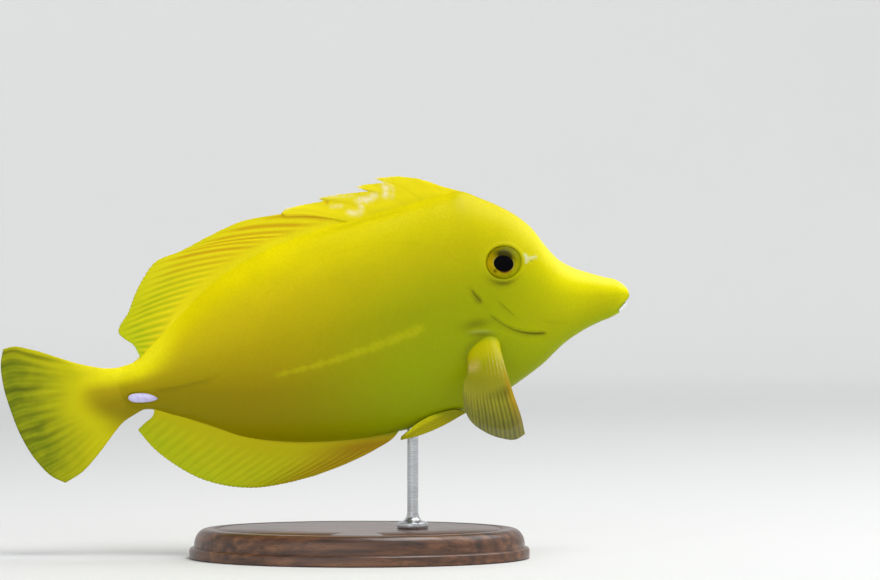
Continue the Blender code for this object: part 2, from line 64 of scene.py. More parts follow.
# The flesh form, station by station from tail to snout:
# x and z of its top, x and z of its underside, z of the widest level, half width
STATIONS = (
    (-2.6, 4.4, -2.6, -4.9, -0.2, 1.5),
    (0.0, 5.6, 0.0, -6.1, -0.2, 2.3),
    (4.0, 6.1, 4.0, -6.6, -0.2, 3.2),
    (10.0, 7.1, 10.0, -6.8, -0.1, 4.1),
    (16.0, 10.9, 16.0, -9.0, 0.4, 5.0),
    (24.0, 16.9, 24.0, -13.0, 1.0, 6.1),
    (34.0, 23.5, 34.0, -18.6, 1.2, 7.4),
    (46.0, 28.2, 46.0, -22.3, 0.9, 8.5),
    (60.0, 31.2, 60.0, -24.6, 0.4, 9.3),
    (76.0, 32.9, 76.0, -25.5, 0.1, 9.9),
    (90.0, 34.1, 90.0, -24.1, 0.3, 10.2),
    (99.0, 35.1, 99.0, -22.3, 1.0, 10.2),
    (104.0, 35.2, 104.5, -20.8, 1.8, 9.9),
    (108.5, 32.6, 109.0, -18.9, 2.6, 9.3),
    (113.0, 29.6, 113.5, -16.8, 3.2, 8.6),
    (117.6, 25.8, 117.5, -14.7, 3.4, 7.8),
    (121.0, 21.7, 120.8, -12.5, 2.8, 7.1),
    (123.7, 16.4, 123.5, -10.8, 2.0, 6.4),
    (126.5, 12.0, 126.4, -9.4, 1.2, 5.7),
    (130.0, 9.1, 130.0, -8.0, 0.5, 4.9),
    (134.0, 6.9, 134.0, -6.9, 0.0, 4.2),
    (137.6, 5.1, 137.4, -6.2, -0.3, 3.6),
    (140.2, 4.0, 139.9, -5.4, -0.5, 3.0),
    (142.2, 2.3, 141.9, -4.0, -0.6, 2.0),
    (143.2, 0.9, 143.0, -2.3, -0.6, 1.1),
)
SNOUT_TIP = (143.5, -0.6)
BACK_KEEL = 1.12
BELLY_KEEL = 1.0
TAIL_END_TAPER = 0.8
SNOUT_CAP_FROM = 0.985
SNOUT_CAP_ROWS = 9

# Thin ridges of skin that sheathe the roots of the fins: where each starts and ends, and its height
BACK_RIDGE = (10.0, 101.0, 1.6)
BELLY_RIDGE = (13.0, 73.0, 1.4)
RIDGE_WIDTH = 0.8

# The skin lies this deep under the solids, and the scales fill that depth
COAT_DEPTH = 0.16

# Eye, in x and z: its centre, half sizes, the pupil's centre and half sizes, and how proud it stands
EYE_CENTRE = (111.6, 14.0)
EYE_HALF = (4.75, 4.45)
PUPIL_OFFSET = (-0.2, -0.35)
PUPIL_HALF = (2.6, 2.28)
EYE_PROUD = 0.95
LENS_PROUD = 0.22
LENS_WIDTH = 2.1
BROW_TURN = 114.0
BAG_TURN = -102.0

# Lines drawn on the head and body, in x and z
GILL_EDGE = (
    (101.0, 13.0), (101.8, 8.7), (103.7, 4.7), (105.2, 1.2), (107.4, -1.4), (110.5, -4.0), (114.3, -5.75),
    (120.0, -6.9),
)
CHEEK_FOLD = ((108.0, 4.2), (109.9, 1.6), (112.0, -1.1))
CHEEK_LINE = ((117.6, -2.5), (121.4, -4.3), (126.5, -5.3))
MOUTH_SLIT = ((139.0, -4.7), (140.8, -3.6), (142.4, -2.6), (145.5, -1.2))
TOOTH_LINE = ((139.9, -7.0), (140.4, -5.0), (140.9, -3.5))
NOSTRIL_RIM = ((117.1, 15.6), (117.9, 14.3), (117.8, 13.2), (117.1, 12.4))
NOSTRIL_FLAP = ((118.7, 13.7), (119.5, 13.6), (120.4, 13.75))
NOSTRILS = ((118.9, 12.95, 0.22), (119.5, 14.5, 0.18))
SHOULDER_LEDGE = ((98.6, -2.6), (102.0, -2.9), (105.6, -3.7))
SHOULDER_HOLLOW = (101.2, -0.9)
PECTORAL_BASE = ((97.4, -11.4), (97.5, -8.9), (98.6, -7.1), (100.4, -5.9), (102.6, -5.0), (104.6, -4.5))
FIN_CREASE = ((62.0, 30.9), (73.9, 32.0), (85.2, 32.9), (90.5, 33.2))
LATERAL_LINE = (
    (101.5, 14.5), (96.0, 20.5), (84.0, 24.6), (68.0, 25.0), (52.0, 20.8), (42.0, 11.0), (35.5, 2.5),
    (30.0, -1.6), (24.7, -2.3), (17.3, -2.4), (12.0, -2.1),
)
FLANK_STRIPE = ((43.8, -4.3), (62.5, -3.1), (76.0, -1.2), (88.9, 1.2))

# Folds of the skin: the line each follows, how sharply it fades at its ends (0 not at all), then what it
# does to the skin, each as the layer changed, strength, offset to the line's left and half width. The dark
# layer is painted shade in the folds, under the shoulder ledge and beside the pectoral's root; the pale layer
# is a painted highlight on the shoulder ledge, and pale skin with a painted highlight on the nostril flap.
FOLDS = (
    (CHEEK_FOLD, 0.6, (("height", 0.06, 0.6, 0.5), ("height", -0.12, 0.0, 0.3), ("crease_shade", 0.34, 0.0, 0.3))),
    (CHEEK_LINE, 1.0, (("height", -0.06, 0.0, 0.4), ("crease_shade", 0.16, 0.0, 0.45))),
    (FIN_CREASE, 1.0, (("height", -0.05, 0.0, 0.4), ("crease_shade", 0.13, 0.0, 0.45))),
    (NOSTRIL_FLAP, 0.0, (("height", 0.14, 0.0, 0.4), ("pale", 0.5, 0.0, 0.36))),
    (PECTORAL_BASE, 0.5, (
        ("height", 0.7, -1.6, 1.3), ("height", -0.1, 0.7, 0.9), ("crease_shade", 0.34, 0.4, 0.9),
    )),
    (SHOULDER_LEDGE, 0.7, (
        ("height", 0.14, 0.0, 0.5), ("height", -0.15, 1.6, 1.1), ("height", -0.15, -1.3, 0.8),
        ("crease_shade", 0.24, -0.9, 0.6), ("pale", 0.08, 0.0, 0.4),
    )),
)

# Teeth: centre, half sizes and slope of the jaw's curve in x and y, the teeth's turns round it in degrees,
# how far out and how high the top and foot of the foremost lie, and half sizes round the jaw and through it
JAW_CENTRE = 138.7
JAW_HALF = (3.3, 2.0)
JAW_SLOPE = 0.7
TOOTH_TURNS = range(-66, 67, 11)
TOOTH_TOP = (0.1, -2.8)
TOOTH_FOOT = (-0.4, -3.9)
TOOTH_HALF = (0.36, 0.32)

# Scalpel on the tail stalk: its ends in x and z, half thickness and half height
SCALPEL_FRONT = (13.5, -3.85)
SCALPEL_BACK = (5.4, -2.65)
SCALPEL_HALF = (0.75, 1.3)
SCALPEL_PROUD = 0.55

# How far the spines, and the soft rays, bow upwards in their middle, as a share of their length
SPINE_BOW = 0.055
SOFT_RAY_BOW = 0.05

# Spiny dorsal fin: x of its root and x and z of its ragged margin, row by row, and the rows with bare spines
SPINY_DORSAL = (
    (106.0, 105.6, 34.3), (103.8, 102.8, 35.7), (102.0, 99.3, 37.4), (100.4, 96.1, 39.3), (98.9, 92.9, 40.9),
    (97.4, 88.0, 42.4), (95.9, 81.7, 43.1), (94.4, 84.1, 41.4), (93.2, 78.4, 41.9), (92.2, 76.4, 41.6),
    (89.4, 79.4, 39.9), (85.6, 71.5, 40.6), (84.0, 65.8, 40.7), (82.0, 66.9, 39.6), (79.0, 61.5, 39.7),
    (77.1, 56.6, 39.6), (76.3, 55.2, 38.6), (75.9, 56.3, 37.4),
)
SPINE_ROWS = (6, 9, 12, 15)
SPINE_ROOT_DEPTH = 2.0

# Worn places on the spiny fin, the last one a painted highlight along a web's top edge: strength, half width
# and the line each follows; and a dark spot
WORN_PLACES_AND_HIGHLIGHT = (
    (0.9, 0.85, ((84.1, 40.5), (84.2, 39.3), (83.7, 37.9))),
    (0.3, 0.5, ((85.8, 40.2), (86.0, 38.6), (85.2, 36.8))),
    (0.95, 0.85, ((80.9, 38.4), (78.9, 37.8), (76.3, 38.0))),
    (0.75, 0.7, ((76.7, 36.5), (76.6, 35.5), (75.8, 34.6), (73.2, 35.3))),
    (0.4, 0.5, ((68.7, 37.7), (71.7, 37.3))),
    # A painted highlight along the top edge of a web.
    (0.4, 0.45, ((67.0, 40.6), (70.3, 40.3), (74.8, 39.4))),
)
FIN_SPOT = (67.9, 39.0)

# Edges of the fins in the middle plane, in x and z. The crowding, for root and margin, is the power of the
# place from first to last ray by which the soft dorsal fin's rays draw apart at the front
SOFT_DORSAL_ROOT = ((76.6, 30.9), (60.0, 29.0), (43.0, 25.0), (31.9, 19.8), (20.4, 12.0), (10.6, 6.2))
SOFT_DORSAL_MARGIN = (
    (55.8, 38.4), (43.8, 38.4), (35.0, 36.3), (26.4, 33.7), (19.0, 32.0), (14.8, 28.0), (12.0, 24.3),
    (9.8, 20.6), (5.9, 14.8), (7.2, 13.1), (9.0, 11.4), (10.4, 7.6),
)
SOFT_DORSAL_CROWDING = (0.935, 0.4)
ANAL_ROOT = ((76.2, -24.2), (62.8, -23.0), (43.4, -19.6), (28.6, -13.6), (17.1, -8.0), (11.6, -5.8))
ANAL_FRONT = ((76.2, -24.2), (74.0, -26.4), (68.0, -29.0), (60.0, -31.2), (50.6, -32.9))
ANAL_MARGIN = (
    (50.6, -32.9), (42.2, -33.4), (34.1, -33.0), (26.2, -30.8), (20.0, -27.7), (14.1, -22.9), (9.2, -17.3),
    (6.0, -11.6),
)
ANAL_REAR = ((11.6, -5.8), (11.0, -8.2), (7.7, -10.4), (6.0, -11.6))

# How far a margin draws in between rays, and how high on the flesh's colours the dorsal fins start
RAY_NOTCH = 0.012
BACK_LEVEL = 0.97

# Tail fin: its dark bands, how deep its root lies in the stalk, and its edges
TAIL_BANDS = 12
TAIL_ROOT_DEPTH = 4.0
TAIL_ROOT = ((8.0, 4.8), (2.0, 3.6), (0.0, 0.0), (3.0, -3.8), (9.8, -5.0))
TAIL_MARGIN = (
    (-25.6, 16.8), (-26.9, 13.5), (-27.5, 7.3), (-26.8, 0.2), (-25.3, -7.2), (-22.5, -14.5), (-18.9, -19.8),
    (-16.0, -21.9),
)
TAIL_TOP_EDGE = (
    (8.0, 4.8), (3.4, 5.9), (0.3, 6.4), (-3.0, 7.6), (-6.9, 9.3), (-11.0, 11.5), (-18.5, 15.4),
    (-23.0, 17.0), (-25.6, 16.8),
)
TAIL_LOWER_EDGE = (
    (9.8, -5.0), (7.2, -6.4), (5.3, -7.3), (2.3, -8.8), (-0.3, -11.0), (-3.3, -13.8), (-7.0, -17.0),
    (-10.8, -19.8), (-16.0, -21.9),
)

# Edges of the paired fins of one side: x, distance out from the middle plane, z
PECTORAL_ROOT = (
    (106.2, 7.4, -6.4), (104.6, 7.4, -5.5), (102.4, 7.4, -5.7), (100.2, 7.3, -6.9), (98.7, 7.2, -8.6),
    (98.3, 7.2, -10.0),
)
PECTORAL_LEADING = (
    (106.2, 7.4, -6.4), (106.2, 12.0, -9.6), (106.6, 17.4, -15.2), (107.2, 22.6, -21.2),
    (107.9, 27.0, -27.0), (107.9, 29.6, -31.0),
)
PECTORAL_MARGIN = (
    (107.9, 29.6, -31.0), (105.4, 29.4, -31.9), (101.6, 27.4, -31.0), (97.6, 24.4, -28.6),
    (94.8, 21.6, -25.6), (93.6, 19.0, -22.0),
)
PECTORAL_TRAILING = ((98.3, 7.2, -10.0), (96.8, 11.2, -12.4), (94.6, 15.6, -16.4), (93.6, 19.0, -22.0))
PELVIC_ROOT = ((94.0, 3.2, -23.6), (91.6, 3.9, -22.4), (88.4, 4.4, -22.2))
PELVIC_LOWER = ((94.0, 3.2, -23.6), (86.0, 4.0, -26.3), (79.0, 4.3, -27.5), (75.4, 4.0, -27.6))
PELVIC_UPPER = ((88.4, 4.4, -22.2), (84.6, 4.8, -22.7), (80.0, 4.7, -24.3), (75.8, 4.2, -27.0))
PELVIC_TIP = ((75.4, 4.0, -27.6), (75.3, 4.1, -27.3), (75.8, 4.2, -27.0))

# Colours of the flesh from its underside (0) to its back (1), as a display shows them: of the tail stalk,
# the rear and the front of the body and the snout, and the spans in X, in metres, where one turns to the
# next.
# The darkening towards the underside and the lighter snout are painted light and shade, and the pale tops
# of the stalk and snout are painted highlights.
FLESH_TONES_AND_SHADE = (
    ((0.05, 150, 137, 0), (0.3, 155, 137, 0), (0.56, 182, 162, 0), (0.74, 236, 224, 0), (0.9, 252, 240, 30)),
    ((0.05, 150, 137, 0), (0.3, 155, 137, 0), (0.55, 182, 162, 0), (0.78, 211, 191, 0), (0.97, 238, 223, 0)),
    ((0.05, 148, 163, 0), (0.3, 152, 166, 0), (0.58, 156, 164, 0), (0.78, 190, 182, 0), (0.97, 222, 209, 0)),
    ((0.05, 170, 184, 0), (0.3, 190, 190, 0), (0.52, 202, 198, 0), (0.74, 230, 222, 0), (0.97, 254, 244, 70)),
)
FLESH_BLENDS = ((-0.058, -0.046), (-0.03, 0.02), (0.034, 0.062))

# Studio: the camera's place in metres, its lens and sensor in millimetres, and the lights' place, size, power
CAMERA_PLACE = (0.02174, -0.8, 0.0724)
CAMERA_LENS = 121.06
SENSOR_WIDTH = 36.0
LIGHTS = {
    "key": ((0.35, -0.45, 1.25), 0.6, 8.0),
    "fill": ((-0.45, -1.5, 0.6), 1.2, 2.4),
    "gloss": ((0.62, 0.05, 1.0), 0.9, 8.5),
}
LIGHTS_AIM = Vector((0, 0, 0.06))
WALL_GLOW = 0.3
SKY_COLOUR = (0.9, 0.93, 1.0, 1.0)
SKY_STRENGTH = 0.2


# ---------------- curves and fields


def curve_through(points):
    """A smooth curve through the points, as a function of 0..1 along its length."""
    points = np.asarray(points, float)
    steps = np.linalg.norm(np.diff(points, axis=0), axis=1)
    knots = np.concatenate([[0.0], np.cumsum(steps)]) / steps.sum()
    slopes = np.gradient(points, knots, axis=0)

    def at(along):
        along = np.atleast_1d(along)
        i = np.clip(np.searchsorted(knots, along, side="right") - 1, 0, len(knots) - 2)
        span = (knots[i + 1] - knots[i])[:, None]
        t = (along[:, None] - knots[i][:, None]) / span
        start = (1 + 2 * t) * (1 - t) ** 2 * points[i] + t * (1 - t) ** 2 * span * slopes[i]
        end = t * t * (3 - 2 * t) * points[i + 1] + t * t * (t - 1) * span * slopes[i + 1]
        return start + end

    return at


def ease(low, high, value):
    """0 on low's side and 1 on high's, with an even rise between them; high may be the smaller one."""
    share = np.clip((value - low) / (high - low), 0, 1)
    return share * share * (3 - 2 * share)


def window(start, full, fading, end, value):
    """0 before start, 1 from full to fading and 0 again from end on."""
    return ease(start, full, value) * ease(end, fading, value)


def bell(value, width):
    return np.exp(-((value / width) ** 2))


def unit(vectors):
    return vectors / np.maximum(np.linalg.norm(vectors, axis=-1, keepdims=True), 1e-9)


def circle(columns):
    """Angles of the columns round a ring."""
    return np.arange(columns) * 2 * math.pi / columns


def near_line(x, z, line, pieces=28):
    """Distance of each place to a smooth line in x and z, positive on its left, and the share along it."""
    line = curve_through(line)(np.linspace(0, 1, pieces + 1))
    best = np.full(x.shape, np.inf)
    share = np.zeros(x.shape)
    for i in range(pieces):
        (x0, z0), (x1, z1) = line[i], line[i + 1]
        run_x, run_z = x1 - x0, z1 - z0
        t = np.clip(((x - x0) * run_x + (z - z0) * run_z) / math.hypot(run_x, run_z) ** 2, 0, 1)
        off_x, off_z = x - x0 - t * run_x, z - z0 - t * run_z
        distance = np.hypot(off_x, off_z) * np.where(run_x * off_z - run_z * off_x < 0, -1, 1)
        nearer = abs(distance) < abs(best)
        best = np.where(nearer, distance, best)
        share = np.where(nearer, (i + t) / pieces, share)
    return best, share


def fade_ends(share, power=1.0):
    """0 at both ends of a line and 1 in its middle."""
    return np.sin(math.pi * np.clip(share, 0.02, 0.98)) ** power


def to_world(points):
    x, y, z = np.asarray(points, float).T
    east = x * math.cos(PITCH) - z * math.sin(PITCH) - FISH_SETBACK
    up = x * math.sin(PITCH) + z * math.cos(PITCH) + LIFT
    return np.column_stack([east, y, up]) * MM


# ---------------- the flesh form

BODY = curve_through(STATIONS)


def flesh(along, around):
    """Points of the flesh form: along runs 0..1 from tail to snout, around from the belly up the left."""
    x_top, z_top, x_under, z_under, z_wide, half_width = BODY(np.minimum(along / SNOUT_CAP_FROM, 1)).T
    around = around % 1
    turn = section_turn(around)
    rise = np.where(turn > 0, z_top - z_wide, z_wide - z_under)
    z = z_wide + rise * np.sin(turn)
    x = x_under + (x_top - x_under) * (z - z_under) / (z_top - z_under)
    keel = np.where(turn > 0, BACK_KEEL, BELLY_KEEL)
    y = np.where(around < 0.5, 1, -1) * half_width * np.maximum(np.cos(turn), 0) ** keel
    y = y * tail_taper(x)
    z = z + fin_ridge(x, y, turn)
    left_over = 1 - np.clip((along - SNOUT_CAP_FROM) / (1 - SNOUT_CAP_FROM), 0, 1)
    x = x + (SNOUT_TIP[0] - x) * (1 - left_over**2)
    z = SNOUT_TIP[1] + (z - SNOUT_TIP[1]) * left_over
    return np.column_stack([x, y * left_over, z])


def tail_taper(x):
    """Thinning of the stalk towards the tail fin."""
    return 1 - TAIL_END_TAPER * ease(STATIONS[3][0], STATIONS[0][0], x)


def fin_ridge(x, y, turn):
    """Rise of the skin into a thin ridge under the fins of the back, and a drop into one at the belly."""
    start, end, height = np.where(turn[:, None] > 0, BACK_RIDGE, BELLY_RIDGE).T
    run = window(start - 3, start + 4, end - 11, end + 2, x)
    return np.sign(turn) * height * run * np.exp(-abs(y) / RIDGE_WIDTH)


def section_turn(around):
    """Angle round a section, from -90 degrees at the belly to 90 at the back, for either side."""
    return math.pi * (2 * np.where(around < 0.5, around, 1 - around) - 0.5)


def flesh_normals(along, around, step=0.0012):
    ahead = flesh(np.minimum(along + step, 1), around) - flesh(np.maximum(along - step, 0), around)
    return unit(np.cross(flesh(along, around + step) - flesh(along, around - step), ahead))


def flesh_half_width(x, z):
    """Distance from the middle plane to the flesh at these places on its side."""
    table = np.asarray(STATIONS)
    _, z_top, _, z_under, z_wide, half_width = (np.interp(x, table[:, 0], column) for column in table.T)
    rise = np.where(z > z_wide, z_top - z_wide, z_wide - z_under)
    keel = np.where(z > z_wide, BACK_KEEL, BELLY_KEEL)
    return half_width * tail_taper(x) * np.maximum(1 - ((z - z_wide) / rise) ** 2, 0) ** (keel / 2)


def eye_radius(x, z):
    """Distance from the eye's centre as a share of its size."""
    return np.hypot((x - EYE_CENTRE[0]) / EYE_HALF[0], (z - EYE_CENTRE[1]) / EYE_HALF[1])


def scalpel_distance(x, z):
    """Distance from the folded scalpel's outline, negative inside it."""
    distance, share = near_line(x, z, (SCALPEL_BACK, SCALPEL_FRONT), pieces=1)
    return abs(distance) - SCALPEL_HALF[1] * blade_size(share)


def blade_size(along):
    """Thickness of the scalpel along its length, as a share: blunt behind and a round point in front."""
    bluntness = np.where(along < 0.5, 3.5, 2.0)
    return np.maximum(1 - abs(2 * along - 1) ** bluntness, 0) ** 0.5


# ---------------- relief and markings of the skin


def gill_slots(share):
    """How open the gill is along its edge: a short slot above and a long one below, with a gap between."""
    return window(0.12, 0.19, 0.26, 0.33, share), window(0.42, 0.48, 0.95, 1, share)


def gill_marks(x, z):
    """The gill cover's raised free edge, with painted shade in its short slot above and its long thin one
    below.
    """
    d, share = near_line(x, z, GILL_EDGE)
    upper, lower = gill_slots(share)
    thick = window(0.55, 0.85, 0.93, 1, share)
    edge = window(0, 0.12, 0.93, 1, share) * (0.04 + 0.08 * (upper + lower))
    height = edge * (bell(d - 0.75, 0.75) - bell(d + 1.3, 0.9))
    height -= 0.1 * upper * bell(d + 0.2, 0.5) + (0.08 + 0.12 * thick) * lower * bell(d + 0.1, 0.3)
    crease_shade = 0.66 * upper * bell(d + 0.2, 0.3 + 0.4 * ease(0.15, 0.28, share))
    crease_shade += lower * bell(d + 0.1, 0.28 + 0.2 * thick) * (0.36 + 0.42 * thick)
    return height, crease_shade, 0.0


def socket_marks(x, z):
    """A rolled lid round the eye with painted shade in the groove at its edge, darkest above and behind, and
    a painted shadow in the bag below.
    """
    r = eye_radius(x, z)
    turn = np.degrees(np.arctan2(z - EYE_CENTRE[1], x - EYE_CENTRE[0]))
    brow = 0.5 + 0.5 * np.cos(np.radians(turn - BROW_TURN))
    bag = bell(turn - BAG_TURN, 36)
    height = 0.14 * bell(r - 1.14, 0.09) - 0.32 * bell(r - 1.005, 0.035) - 2.2 * ease(0.985, 0.9, r)
    height += bag * (0.08 * bell(r - 1.5, 0.12) - 0.14 * bell(r - 1.25, 0.12))
    crease_shade = (0.1 + 0.5 * brow) * bell(r - 1.0, 0.03) + 0.75 * bag * bell(r - 1.27, 0.16)
    return height, crease_shade, 0.0


def nostril_marks(x, z):
    """A pale curved rim before the eye, pale skin with a painted highlight, and two pits in front of it
    darkened with painted shade.
    """
    d, share = near_line(x, z, NOSTRIL_RIM)
    ends = window(0, 0.35, 0.9, 1, share)
    pits = sum(bell(np.hypot(x - at_x, (z - at_z) / 0.7), size) for at_x, at_z, size in NOSTRILS)
    pale = 0.6 * ends * bell(d, 0.16 + 0.34 * fade_ends(share))
    return 0.1 * ends * bell(d, 0.4) - 0.3 * pits, 0.3 * pits, pale


def mouth_marks(x, z):
    """The slit between the lips with painted shade in it, the rolls of the lips and the place of the front
    teeth.
    """
    d, share = near_line(x, z, MOUTH_SLIT)
    front = ease(0, 0.25, share)
    toothed = ease(0.1, -0.25, near_line(x, z, TOOTH_LINE)[0]) * ease(0, -0.3, d)
    height = front * (0.08 * bell(d - 0.85, 0.45) - 0.15 * bell(d, 0.24)) - 0.5 * toothed
    return height, 0.16 * front * bell(d, 0.22), 0.0


def stalk_marks(x, z):
    """The lateral line, a fine groove seen mostly on the tail stalk, and the folded scalpel's groove, each
    darkened with painted shade.
    """
    d, share = near_line(x, z, LATERAL_LINE, pieces=60)
    ends = window(0, 0.03, 0.97, 1, share)
    rear = ease(34, 25, x)
    height = ends * (0.015 + 0.03 * rear) * (0.5 * bell(abs(d) - 0.6, 0.35) - bell(d, 0.35))
    crease_shade = ends * bell(d, 0.4 + 0.3 * rear) * (0.02 + 0.2 * rear)
    d = scalpel_distance(x, z)
    return height - 0.25 * bell(d - 0.1, 0.35), crease_shade + 0.1 * bell(d - 0.12, 0.26), 0.0


def relief(points):
    """Height of the skin's own form over the flesh, its painted shade in creases, grooves, slots and hollows,
    and its pale markings with their painted highlights, each 0..1.
    """
    x, _, z = points.T
    layers = {"height": 0 * x, "crease_shade": 0 * x, "pale": 0 * x}
    for line, fading, strokes in FOLDS:
        d, share = near_line(x, z, line)
        for layer, strength, offset, width in strokes:
            layers[layer] += strength * fade_ends(share, fading) * bell(d - offset, width)
    for marks in (gill_marks, socket_marks, nostril_marks, mouth_marks, stalk_marks):
        for layer, amount in zip(layers, marks(x, z)):
            layers[layer] += amount
    # Painted shade in the hollow behind the gill cover.
    hollow = np.hypot((x - SHOULDER_HOLLOW[0]) / 4.6, (z - SHOULDER_HOLLOW[1]) / 1.7)
    layers["crease_shade"] += 0.4 * bell(hollow, 0.8)
    return layers["height"], np.clip(layers["crease_shade"], 0, 1), np.clip(layers["pale"], 0, 1)


def flank_stripe(x, z):
    """The pale band along the flank, ragged and widening forwards."""
    d, share = near_line(x, z, FLANK_STRIPE)
    width = 0.45 + 0.7 * share + 0.3 * np.sin(1.9 * x) * np.sin(0.7 * x + 1)
    patchy = 0.8 + 0.2 * np.sin(0.9 * x + 2 * z) * np.sin(2.3 * x)
    return window(0, 0.12, 0.94, 1, share) * patchy * ease(1.7, 0.4, abs(d) / width)


def markings(points, around):
    """Named values of each place that the flesh's paint reads, the same for skin and scales."""
    x, _, z = points.T
    _, crease_shade, pale = relief(points)
    level = (1 + np.sin(section_turn(around % 1))) / 2
    return {"level": level, "crease_shade": crease_shade, "pale": pale, "stripe": flank_stripe(x, z)}


def skin_points(along, around):
    form = flesh(along, around)
    return form + (relief(form)[0] - COAT_DEPTH)[:, None] * flesh_normals(along, around)


# ---------------- making pieces


def new_object(name, data):
    made = bpy.data.objects.new(name, data)
    bpy.context.scene.collection.objects.link(made)
    return made


def smooth_mesh(name, points, faces, finish):
    """A smooth mesh object, from points in metres in the shared frame."""
    mesh = bpy.data.meshes.new(name)
    mesh.from_pydata(np.asarray(points).tolist(), [], [list(map(int, face)) for face in faces])
    mesh.materials.append(finish)
    mesh.shade_smooth()
    return new_object(name, mesh)


def add_piece(name, points, faces, finish, nodes=(), values=None, chart=None):
    """A piece that rides on the body, with named values at its points and a chart for its map."""
    piece = smooth_mesh(name, points, faces, finish)
    for key, numbers in (values or {}).items():
        layer = piece.data.attributes.new(key, "FLOAT", "POINT")
        layer.data.foreach_set("value", np.asarray(numbers, np.float32))
    if chart is not None:
        layer = piece.data.uv_layers.new(name="OFBake")
        layer.data.foreach_set("uv", np.asarray(chart, np.float32).ravel())
    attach(piece, "root")
    if nodes:
        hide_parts(*nodes)
    return piece


def turn_outwards(piece, seam=()):
    """Welds the points of the seam that meet, closes what stays open and turns the faces outwards."""
    tidy = bmesh.new()
    tidy.from_mesh(piece.data)
    tidy.verts.ensure_lookup_table()
    bmesh.ops.remove_doubles(tidy, verts=[tidy.verts[i] for i in seam], dist=1e-7)
    bmesh.ops.holes_fill(tidy, edges=[edge for edge in tidy.edges if edge.is_boundary], sides=0)
    bmesh.ops.recalc_face_normals(tidy, faces=tidy.faces)
    tidy.to_mesh(piece.data)
    tidy.free()


def grid_faces(rows, columns, start=0, closed=False):
    """Quads of a grid of points, row after row, joined round each row when closed."""
    row, column = np.meshgrid(np.arange(rows - 1), np.arange(columns - (not closed)), indexing="ij")
    here = start + (row * columns + column).ravel()
    after = start + (row * columns + (column + 1) % columns).ravel()
    return np.column_stack([here, after, after + columns, here + columns])


def tube_faces(rows, columns):
    """Faces of a tube of rings, closed by two more points: one past the first ring, one past the last."""
    first_end = rows * columns
    last = first_end - columns
    faces = grid_faces(rows, columns, closed=True).tolist()
    faces += [[i, (i + 1) % columns, first_end] for i in range(columns)]
    return faces + [[last + (i + 1) % columns, last + i, first_end + 1] for i in range(columns)]


def swept_bar(start, end, wide, thick, along, size, columns):
    """Points and faces of a straight bar: rings with half axes wide and thick, scaled by each one's size."""
    start, end = np.asarray(start, float), np.asarray(end, float)
    turn = circle(columns)[:, None]
    ring = np.cos(turn) * np.asarray(wide) + np.sin(turn) * np.asarray(thick)
    rings = start + along[:, None, None] * (end - start) + size[:, None, None] * ring
    return np.concatenate([rings.reshape(-1, 3), [start, end]]), tube_faces(len(along), columns)


def lathe(profile, columns):
    """Points and faces turned about the z axis from radius and height pairs, open at both ends."""
    turn = circle(columns)
    radius, height = (part[:, None] for part in np.asarray(profile, float).T)
    rings = np.stack([radius * np.cos(turn), radius * np.sin(turn), height + 0 * turn], axis=-1)
    return rings.reshape(-1, 3), grid_faces(len(profile), columns, closed=True).tolist()


def arc(centre, half, start, end, steps):
    """Points of an arc between two angles in degrees, with its half sizes across and up."""
    turns = np.radians(np.linspace(start, end, steps + 1))
    return [(centre[0] + half[0] * math.cos(t), centre[1] + half[1] * math.sin(t)) for t in turns]


# ---------------- paint


def shown(red, green, blue):
    """A colour as a display shows it, 0..255, as the linear colour that shaders take."""
    shares = np.array([red, green, blue]) / 255
    linear = np.where(shares <= 0.04045, shares / 12.92, ((shares + 0.055) / 1.055) ** 2.4)
    return (*linear.tolist(), 1.0)


class Paint:
    """One Principled material, and short names for the nodes that colour it, in colours as displays show."""

    def __init__(self, name, **constants):
        self.material = bpy.data.materials.new(name)
        self.material.use_nodes = True
        self.nodes = self.material.node_tree.nodes
        self.links = self.material.node_tree.links
        self.shader = self.nodes["Principled BSDF"]
        for key, value in constants.items():
            self.shader.inputs[key.replace("_", " ")].default_value = value

    def feed(self, socket, value):
        if isinstance(value, bpy.types.NodeSocket):
            self.links.new(value, socket)
        else:
            socket.default_value = shown(*value) if socket.type == "RGBA" else value

    def give(self, name, value):
        self.feed(self.shader.inputs[name], value)

    def node(self, kind, fed, output=0, **settings):
        """The output of a new node with its inputs fed by name or number."""
        made = self.nodes.new("ShaderNode" + kind)
        for key, value in settings.items():
            setattr(made, key, value)
        for key, value in fed.items():
            self.feed(made.inputs[key], value)
        return made.outputs[output]

    def math(self, operation, first, second=0.0):
        return self.node("Math", {0: first, 1: second}, operation=operation)

    def value(self, name):
        return self.node("Attribute", {}, "Fac", attribute_name=name)

    def place(self):
        """Place in metres in the shared frame."""
        return self.node("TexCoord", {}, "Object")

    def stretched(self, scale):
        return self.node("Mapping", {"Vector": self.place(), "Scale": scale})

    def noise(self, scale, detail=3.0, vector=None):
        fed = {"Vector": vector or self.place(), "Scale": scale, "Detail": detail}
        return self.node("TexNoise", fed, "Fac")

    def span(self, value, low, high, to_low=0.0, to_high=1.0):
        """The value spread smoothly from low..high to to_low..to_high, and held at the ends."""
        fed = {"Value": value, "From Min": low, "From Max": high, "To Min": to_low, "To Max": to_high}
        return self.node("MapRange", fed, interpolation_type="SMOOTHSTEP")

    def ramp(self, value, *stops):
        """Colours along a value, from stops of a position and a colour."""
        made = self.nodes.new("ShaderNodeValToRGB")
        self.feed(made.inputs[0], value)
        points = made.color_ramp.elements
        while len(points) < len(stops):
            points.new(0.5)
        for point, (position, *colour) in zip(points, stops):
            point.position = position
            point.color = shown(*colour)
        return made.outputs[0]

    def mix(self, share, first, second):
        return self.node("Mix", {0: share, 6: first, 7: second}, 2, data_type="RGBA")

    def bump(self, height, strength, depth):
        self.give("Normal", self.node("Bump", {"Strength": strength, "Distance": depth, "Height": height}))


